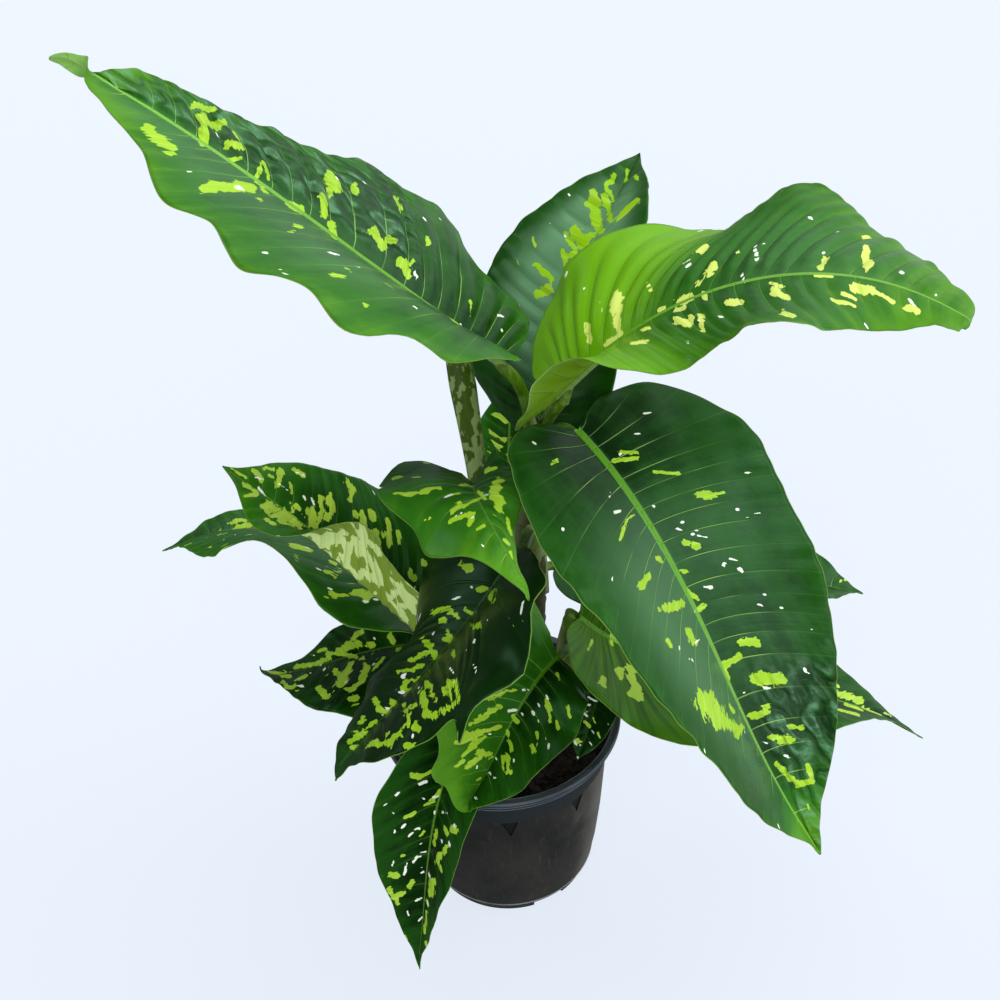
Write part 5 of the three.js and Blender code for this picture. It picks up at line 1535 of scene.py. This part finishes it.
def furled_sheet(inset):
    """One face of the wound sheet, set in by some millimetres."""
    t = np.linspace(0, 1, FURLED_ROWS)
    path = spline(FURLED_KNOTS, t)
    tangent = unit(np.gradient(path, axis=0))
    side = unit(np.cross(tangent, (0, 1, 0)))
    front = np.cross(side, tangent)
    last = len(FURLED_RADII) - 1
    radius = np.interp(t * last, np.arange(last + 1), FURLED_RADII)[:, None]
    wound = np.linspace(0, 1, FURLED_COLUMNS)[None]
    angle = 2 * np.pi * ROLL_TURNS * wound + ROLL_SLANT * t[:, None] + ROLL_START
    shrink = radius * (1 - ROLL_TIGHTENS * (1 - wound)) - inset
    return (path[:, None] + side[:, None] * (shrink * np.cos(angle))[..., None]
            + front[:, None] * (shrink * np.sin(angle))[..., None])


YOUNG_OLIVE, YOUNG_OLIVE_LIGHT = (0.040, 0.085, 0.004), (0.075, 0.130, 0.012)
YOUNG_CREAM, YOUNG_CREAM_LIGHT = (0.20, 0.28, 0.085), (0.29, 0.38, 0.14)
young = Recipe("young_leaf")
patch = young.noise(drawn_out(young, 0.55), 230, 2.0, 0.55)
line = young.noise(drawn_out(young, 0.1), 500, 2.0)
olive = young.blend(line, YOUNG_OLIVE, YOUNG_OLIVE_LIGHT)
cream = young.blend(line, YOUNG_CREAM, YOUNG_CREAM_LIGHT)
young_finish = young.done(
    Base_Color=young.blend(young.squeeze(patch, 0.50, 0.54), olive, cream), Roughness=0.42,
    Specular_IOR_Level=0.25, Normal=young.relief(line, 0.3 * MM))

furled_piece = closed_sheet(
    "furled_young_leaf", furled_sheet(0), furled_sheet(ROLL_SHEET), [young_finish])
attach(furled_piece, "root")
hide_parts("furled_leaf")
print("the sheet is wound", ROLL_TURNS, "times round")

# %% [markdown]
# ## The pot
# A black nursery pot is one thin moulding: a thick lip, a skirt below it, a narrower collar, a
# body that tapers to its foot, and small recessed marks under the collar. The solid has its
# shape already, but in flat facets. It is turned again here from the same radii with
# many more sides, and the notches, marks and drain holes are cut with boolean cutters.

# %% The pot's profile
POT_HEIGHT, RIM_RADIUS, RIM_THICKNESS, SKIRT_RADIUS = 122, 70, 4.6, 67
SKIRT_BOTTOM, COLLAR_RADIUS, COLLAR_BOTTOM, FOOT_RADIUS = 113, 62.7, 98, 49.5
WALL, BOSS_RADIUS, FLOOR_RISE = 1.6, 28, 4
LIP_BOTTOM = POT_HEIGHT - 4
POT_SIDES = 192

pot_profile = [
    (0, 0), (BOSS_RADIUS, 0), (BOSS_RADIUS + 2, FLOOR_RISE), (FOOT_RADIUS - 4, FLOOR_RISE),
    (FOOT_RADIUS - 3, 0), (FOOT_RADIUS - 0.3, 0), (FOOT_RADIUS + 0.2, 0.5), (FOOT_RADIUS + 1.5, 5.2),
    (FOOT_RADIUS + 2.3, 7.2), (FOOT_RADIUS + 3.1, 7.7), (FOOT_RADIUS + 3.5, 8.5),
    (FOOT_RADIUS + 3.3, 9.2), (FOOT_RADIUS + 3.6, 11), (FOOT_RADIUS + 6, 25), (FOOT_RADIUS + 8.8, 50),
    (FOOT_RADIUS + 11.1, 80), (FOOT_RADIUS + 12.3, 97.2), (FOOT_RADIUS + 12.5, 97.9),
    (COLLAR_RADIUS, COLLAR_BOTTOM + 0.3), (COLLAR_RADIUS + 0.1, COLLAR_BOTTOM + 1),
    (COLLAR_RADIUS + 0.8, SKIRT_BOTTOM + 0.3), (SKIRT_RADIUS - 0.8, SKIRT_BOTTOM),
    (SKIRT_RADIUS - 0.1, SKIRT_BOTTOM + 0.1), (SKIRT_RADIUS + 0.1, SKIRT_BOTTOM + 0.6),
    (SKIRT_RADIUS + 0.4, LIP_BOTTOM - 0.2), (RIM_RADIUS - 0.9, LIP_BOTTOM + 0.1),
    (RIM_RADIUS - 0.2, LIP_BOTTOM + 0.5), (RIM_RADIUS, LIP_BOTTOM + 1.1),
    (RIM_RADIUS, POT_HEIGHT - 1.2), (RIM_RADIUS - 0.25, POT_HEIGHT - 0.5),
    (RIM_RADIUS - 0.8, POT_HEIGHT - 0.1), (RIM_RADIUS - 1.6, POT_HEIGHT),
    (RIM_RADIUS - 3.4, POT_HEIGHT - 0.15), (RIM_RADIUS - 4.3, POT_HEIGHT - 0.4),
    (RIM_RADIUS - RIM_THICKNESS, POT_HEIGHT - 1), (COLLAR_RADIUS - 0.2, SKIRT_BOTTOM),
    (COLLAR_RADIUS - WALL, COLLAR_BOTTOM), (FOOT_RADIUS + 7.2, 50), (FOOT_RADIUS + 2, 12),
    (FOOT_RADIUS - 1, FLOOR_RISE + WALL), (BOSS_RADIUS + 1.2, FLOOR_RISE + WALL),
    (BOSS_RADIUS - 1, WALL), (0, WALL),
]


def turned(profile, sides):
    """A closed body turned from a profile that starts and ends on the axis."""
    body = bmesh.new()
    rings = []
    for radius, height in profile:
        if radius == 0:
            rings.append([body.verts.new((0, 0, height * MM))])
            continue
        angles = [2 * math.pi * k / sides for k in range(sides)]
        rings.append([body.verts.new((radius * math.cos(a) * MM, radius * math.sin(a) * MM,
                                      height * MM)) for a in angles])
    for low, high in zip(rings, rings[1:]):
        for k in range(sides):
            corners = [low[k % len(low)], low[(k + 1) % len(low)],
                       high[(k + 1) % len(high)], high[k % len(high)]]
            body.faces.new(list(dict.fromkeys(corners)))
    return mesh_of(body, "turned")


def mesh_of(body, name):
    """A mesh from a body that was built face by face, with all its faces outward."""
    bmesh.ops.recalc_face_normals(body, faces=body.faces)
    mesh = bpy.data.meshes.new(name)
    body.to_mesh(mesh)
    body.free()
    return mesh


print("profile points:", len(pot_profile))

# %% The cutters
FOOT_COUNT, NOTCH_ANGLE, NOTCH_HEIGHT, FIRST_NOTCH = 4, 23, 4.8, 26.5
NOTCH_INSIDE, NOTCH_OUTSIDE = FOOT_RADIUS - 6, FOOT_RADIUS + 8
MARK_COUNT, FIRST_MARK, MARK_TOP, MARK_HEIGHT, MARK_WIDTH, MARK_DEPTH = 9, 1.5, 96, 13, 9.5, 0.7
WALL_LEAN = 0.07  # the marks lean with the wall
MARK_FACE, MARK_REACH = FOOT_RADIUS + 12.15 - MARK_DEPTH, 20
DRAIN_COUNT, DRAIN_RADIUS, DRAIN_PLACE, DRAIN_SIDES, DRAIN_FROM, DRAIN_TO = 8, 4, 38, 24, 1, 9


def add_cutter(cuts, near, far, turn):
    """Adds a prism between two outlines of one count, turned round the pot by some degrees."""
    spin = Matrix.Rotation(math.radians(turn), 3, "Z")
    near, far = ([cuts.verts.new(spin @ Vector(corner) * MM) for corner in ring]
                 for ring in (near, far))
    cuts.faces.new(near[::-1])
    cuts.faces.new(far)
    for k in range(len(near)):
        after = (k + 1) % len(near)
        cuts.faces.new([near[k], near[after], far[after], far[k]])


cuts = bmesh.new()
aside, ahead = math.sin(math.radians(NOTCH_ANGLE / 2)), math.cos(math.radians(NOTCH_ANGLE / 2))
notch = [(side * reach * aside, -reach * ahead) for side, reach in (
    (-1, NOTCH_INSIDE), (-1, NOTCH_OUTSIDE), (1, NOTCH_OUTSIDE), (1, NOTCH_INSIDE))]
for k in range(FOOT_COUNT):
    add_cutter(cuts, *([(x, y, z) for x, y in notch] for z in (-1, NOTCH_HEIGHT)),
               FIRST_NOTCH + k * 360 / FOOT_COUNT)
mark = [(-MARK_WIDTH / 2, MARK_TOP), (0, MARK_TOP - MARK_HEIGHT), (MARK_WIDTH / 2, MARK_TOP)]
for k in range(MARK_COUNT):
    add_cutter(cuts, *([(x, (MARK_TOP - z) * WALL_LEAN - y, z) for x, z in mark]
                       for y in (MARK_FACE, MARK_FACE + MARK_REACH)),
               FIRST_MARK + k * 360 / MARK_COUNT)
drain = [(DRAIN_RADIUS * math.cos(a), -DRAIN_PLACE + DRAIN_RADIUS * math.sin(a))
         for a in (2 * math.pi * i / DRAIN_SIDES for i in range(DRAIN_SIDES))]
for k in range(DRAIN_COUNT):
    add_cutter(cuts, *([(x, y, z) for x, y in drain] for z in (DRAIN_FROM, DRAIN_TO)),
               (k + 0.5) * 360 / DRAIN_COUNT)
print("cutters:", FOOT_COUNT + MARK_COUNT + DRAIN_COUNT)

# %% The cut pot
SHARP_ANGLE = math.radians(32)

pot_piece = stand("nursery_pot", turned(pot_profile, POT_SIDES))
cutter = stand("cuts", mesh_of(cuts, "cuts"))
cutting = pot_piece.modifiers.new("cut", "BOOLEAN")
cutting.object, cutting.operation, cutting.solver = cutter, "DIFFERENCE", "EXACT"
evaluated = pot_piece.evaluated_get(bpy.context.evaluated_depsgraph_get())
pot_mesh = bpy.data.meshes.new_from_object(evaluated)
pot_piece.modifiers.clear()
pot_piece.data = pot_mesh
bpy.data.objects.remove(cutter)
pot_mesh.polygons.foreach_set("use_smooth", [True] * len(pot_mesh.polygons))
pot_mesh.set_sharp_from_angle(angle=SHARP_ANGLE)
print("pot faces:", len(pot_mesh.polygons))

# %% [markdown]
# The plastic is black, but never quite. The rim is a bluish black, with painted highlights as thin
# light lines along its edges. The body has a film of brownish dust, which doesn't reach the
# collar, and its side towards the lamp on the right is painted lighter, a painted light. The collar
# is darker and bluer than the body. The recessed marks are painted near black, a painted shade,
# and a ridge above the foot has a painted highlight. One flat black would swallow all of these,
# so each part is found by its height and radius.

# %% The pot's body
BODY_TOP = COLLAR_BOTTOM - 1
BODY_BLACK, BODY_DUST, BODY_PAINTED_LIGHT, BODY_SCUFF = (
    (0.010, 0.010, 0.0098), (0.023, 0.021, 0.0175), (0.150, 0.140, 0.110), (0.060, 0.056, 0.050))
RECESS_PAINTED_SHADE, RIDGE_PAINTED_HIGHLIGHT = (0.003, 0.005, 0.005), (0.20, 0.195, 0.185)
FOOT_BLACK = (0.016, 0.020, 0.022)
PAINTED_LIGHT_SWAY, PAINTED_LIGHT_FROM, PAINTED_LIGHT_TO = 24, FOOT_RADIUS - 1, FOOT_RADIUS + 22
WALL_HEIGHT, WALL_RADIUS = 80, FOOT_RADIUS + 11.1
PAINTED_RIDGE_HEIGHTS, FOOT_RING = (7.6, 9.0), (-1, 6.2)

plastic = Recipe("pot_plastic")
spot = plastic.place()
axis = plastic.parts(spot)
x_mm, y_mm, z_mm = (plastic.over(axis[k], MM) for k in range(3))
radius = plastic.sum("SQRT", plastic.plus(plastic.times(x_mm, x_mm), plastic.times(y_mm, y_mm)))
dust = plastic.noise(spot, 28, 4.0, 0.6)
upright = plastic.spot(plastic.times(axis[0], 6), plastic.times(axis[1], 6), axis[2])
scuff = plastic.noise(upright, 90, 3.0, 0.6)


def band(low, high, soft):
    """1 between two heights, and 0 a little outside them."""
    rise = plastic.squeeze(z_mm, low - soft, low)
    return plastic.times(rise, plastic.squeeze(z_mm, high, high + soft, 1, 0))


body = plastic.blend(plastic.squeeze(dust, 0.3, 0.7), BODY_BLACK, BODY_DUST)
# Painted light: the side towards the lamp on the right is lightened in the colour.
painted_light_side = plastic.squeeze(plastic.add_some(dust, PAINTED_LIGHT_SWAY, x_mm), PAINTED_LIGHT_FROM, PAINTED_LIGHT_TO)
body = plastic.blend(plastic.times(painted_light_side, 0.8), body, BODY_PAINTED_LIGHT)
body = plastic.blend(plastic.squeeze(scuff, 0.55, 0.75, 0, 0.4), body, BODY_SCUFF)
wall = plastic.add_some(plastic.less(z_mm, WALL_HEIGHT), WALL_LEAN, WALL_RADIUS)
sunk = plastic.squeeze(plastic.less(wall, radius), 0.2, 0.4)
# Painted shade: the recessed marks are made near black.
painted_recess_shade = plastic.times(sunk, band(MARK_TOP - MARK_HEIGHT, BODY_TOP, 0.3))
body = plastic.blend(painted_recess_shade, body, RECESS_PAINTED_SHADE)
# Painted highlight: a light line on the ridge above the foot.
painted_ridge_highlight = plastic.times(band(*PAINTED_RIDGE_HEIGHTS, 0.5), plastic.squeeze(dust, 0.3, 0.5, 0.3, 1))
body = plastic.blend(painted_ridge_highlight, body, RIDGE_PAINTED_HIGHLIGHT)
body = plastic.blend(band(*FOOT_RING, 0.5), body, FOOT_BLACK)
print("the pot's body:", len(plastic.tree.nodes), "nodes")

# %% The pot's collar, rim and painted edge highlights
COLLAR_DARK, RIM_BLUE, PAINTED_EDGE_HIGHLIGHT = (0.012, 0.017, 0.019), (0.020, 0.029, 0.037), (0.15, 0.18, 0.20)
RIM_INSIDE = RIM_RADIUS - RIM_THICKNESS

black = plastic.blend(plastic.squeeze(z_mm, BODY_TOP, BODY_TOP + 0.4), body, COLLAR_DARK)
black = plastic.blend(plastic.squeeze(z_mm, SKIRT_BOTTOM - 0.3, SKIRT_BOTTOM), black, RIM_BLUE)
# Painted highlights: thin light lines along the skirt's lower edge, the lip's lower edge and the rim's
# top edges.
skirt_edge = band(SKIRT_BOTTOM - 0.2, SKIRT_BOTTOM + 0.7, 0.3)
painted_highlight_edges = plastic.sum("MAXIMUM", skirt_edge, band(LIP_BOTTOM + 0.2, LIP_BOTTOM + 1.0, 0.3))
on_lip = plastic.squeeze(z_mm, POT_HEIGHT - 2, POT_HEIGHT - 1.4)
outer_edge = plastic.squeeze(radius, RIM_RADIUS - 1.1, RIM_RADIUS - 0.6, 0, 0.6)
inner_edge = plastic.squeeze(radius, RIM_INSIDE + 0.7, RIM_INSIDE + 1.2, 1, 0)
top_edges = plastic.times(on_lip, plastic.sum("MAXIMUM", outer_edge, inner_edge))
painted_highlight_edges = plastic.sum("MAXIMUM", painted_highlight_edges, top_edges)
painted_highlight_edges = plastic.times(painted_highlight_edges, plastic.squeeze(dust, 0.3, 0.6, 0.35, 0.9))
pot_finish = plastic.done(
    Base_Color=plastic.blend(painted_highlight_edges, black, PAINTED_EDGE_HIGHLIGHT), Normal=plastic.relief(scuff, 0.05 * MM),
    Roughness=plastic.squeeze(dust, 0.3, 0.7, 0.33, 0.46))
pot_mesh.materials.clear()
pot_mesh.materials.append(pot_finish)
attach(pot_piece, "root")
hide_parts("pot")
print("plastic:", len(plastic.tree.nodes), "nodes")

# %% [markdown]
# ## The soil
# Potting mix is a bed of dark crumbs and bark chips. Bump on a disc looks like cloth from this
# close. So the bed itself is heaped and pitted in the mesh, and some hundreds of small
# angular chips lie half sunk in it.

# %% The bed
SOIL_RADIUS, SOIL_MOUND, SOIL_PEAK, SOIL_BOTTOM, BOTTOM_SHARE = 61, 3, 3.5, 60, 0.9
BED_RINGS, BED_SIDES, RING_CROWD = 54, 200, 0.75
LUMP_COUNT, LUMP_WIDTHS, LUMP_HEIGHTS = 520, (2.0, 5.5), (-1.3, 1.7)
chance = np.random.default_rng(77)


def bed_height(x, y):
    """The heaped surface, in millimetres, without its crumbs."""
    return SOIL_TOP - SOIL_MOUND * np.clip(np.hypot(x, y) / SOIL_RADIUS, 0, 1) ** 2


lumps = [(*chance.uniform(-SOIL_RADIUS, SOIL_RADIUS, 2), chance.uniform(*LUMP_WIDTHS),
          chance.uniform(*LUMP_HEIGHTS)) for _ in range(LUMP_COUNT)]
radii = SOIL_RADIUS * np.linspace(0, 1, BED_RINGS + 1)[1:, None] ** RING_CROWD
angles = np.linspace(0, 2 * np.pi, BED_SIDES, endpoint=False)[None]
bx, by = radii * np.cos(angles), radii * np.sin(angles)
bz = bed_height(bx, by)
for cx, cy, wide, high in lumps:
    bz = bz + high * np.exp(-((bx - cx) ** 2 + (by - cy) ** 2) / wide**2)
bz = np.minimum(bz, SOIL_TOP + SOIL_PEAK)
low_ring = (bx[-1] * BOTTOM_SHARE, by[-1] * BOTTOM_SHARE, np.full(BED_SIDES, float(SOIL_BOTTOM)))
soil_points = [(0, 0, float(bz[0].mean()))] + np.stack([bx, by, bz], -1).reshape(-1, 3).tolist()
soil_points += np.stack(low_ring, -1).tolist() + [(0, 0, SOIL_BOTTOM)]
soil_faces = []
for k in range(BED_SIDES):
    nxt = (k + 1) % BED_SIDES
    soil_faces.append((0, 1 + k, 1 + nxt))
    for r in range(BED_RINGS):
        a = 1 + r * BED_SIDES
        soil_faces.append((a + k, a + k + BED_SIDES, a + nxt + BED_SIDES, a + nxt))
    a = 1 + BED_RINGS * BED_SIDES
    soil_faces.append((len(soil_points) - 1, a + nxt, a + k))
print("bed points:", len(soil_points))

# %% The chips
CHIP_COUNT, CHIP_SPREAD, CHIP_ROUGH, CHIP_TILT, CHIP_PROUD = 620, 0.96, (-0.35, 0.1), 0.6, 1.6
CHIP_LENGTHS, CHIP_WIDTHS, CHIP_HEIGHTS = (1.2, 4.2), (0.8, 2.2), (0.4, 1.0)
CHIP_CORNERS = np.array([(x, y, z) for x in (-1, 1) for y in (-1, 1) for z in (-1, 1)], float)
CHIP_FACES = ((0, 1, 3, 2), (4, 6, 7, 5), (0, 4, 5, 1), (2, 3, 7, 6), (0, 2, 6, 4), (1, 5, 7, 3))

parts = [(np.array(soil_points), soil_faces)]
start = len(soil_points)
for _ in range(CHIP_COUNT):
    away = SOIL_RADIUS * chance.uniform(0, 1) ** 0.5 * CHIP_SPREAD
    angle = chance.uniform(0, 2 * np.pi)
    x, y = away * math.cos(angle), away * math.sin(angle)
    size = np.array([chance.uniform(*sizes) for sizes in (CHIP_LENGTHS, CHIP_WIDTHS, CHIP_HEIGHTS)])
    corners = CHIP_CORNERS * (1 + chance.uniform(*CHIP_ROUGH, (8, 3))) * size
    spin = Matrix.Rotation(chance.uniform(0, 6.28), 3, "Z")
    spin = spin @ Matrix.Rotation(chance.uniform(-CHIP_TILT, CHIP_TILT), 3, "X")
    place = (x, y, float(bed_height(x, y)) + chance.uniform(0, CHIP_PROUD))
    faces = [[v + start for v in face] for face in CHIP_FACES]
    parts.append((corners @ np.array(spin).T + place, faces))
    start += len(CHIP_CORNERS)
print("chips:", CHIP_COUNT)

# %% The soil's finish
SOIL_DARK, SOIL_BARK, SOIL_DRY = (0.006, 0.0035, 0.003), (0.030, 0.016, 0.011), (0.055, 0.032, 0.020)

earth = Recipe("potting_mix")
spot = earth.place()
crumbs = earth.cells(spot, 420)
damp = earth.noise(spot, 60, 5.0, 0.65)
colour = earth.blend(earth.chance(crumbs), SOIL_DARK, SOIL_BARK)
colour = earth.blend(earth.squeeze(damp, 0.58, 0.72, 0, 0.7), colour, SOIL_DRY)
rough = earth.relief(earth.noise(spot, 900, 3.0, 0.7), 0.6 * MM)
rough = earth.relief(crumbs["Distance"], 0.8 * MM, rough)
soil_piece = joined("potting_mix", parts, earth.done(Base_Color=colour, Roughness=0.82, Normal=rough))
smooth_faces = [face.index < len(soil_faces) for face in soil_piece.data.polygons]
soil_piece.data.polygons.foreach_set("use_smooth", smooth_faces)
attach(soil_piece, "root")
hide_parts("soil")
print("soil:", len(soil_piece.data.polygons), "faces")

# %% [markdown]
# ## Finish
# The whole model stays inside the solid's own box, give or take a few millimetres. The solid's
# box is printed at the start, and how far the model has grown past it is printed at the end.

# %% Compare the boxes and finish
made_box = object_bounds()
grown = [[round((m - c) / MM, 1) for m, c in zip(a, b)] for a, b in zip(made_box, cad_box)]
print("grown by in mm:", grown)
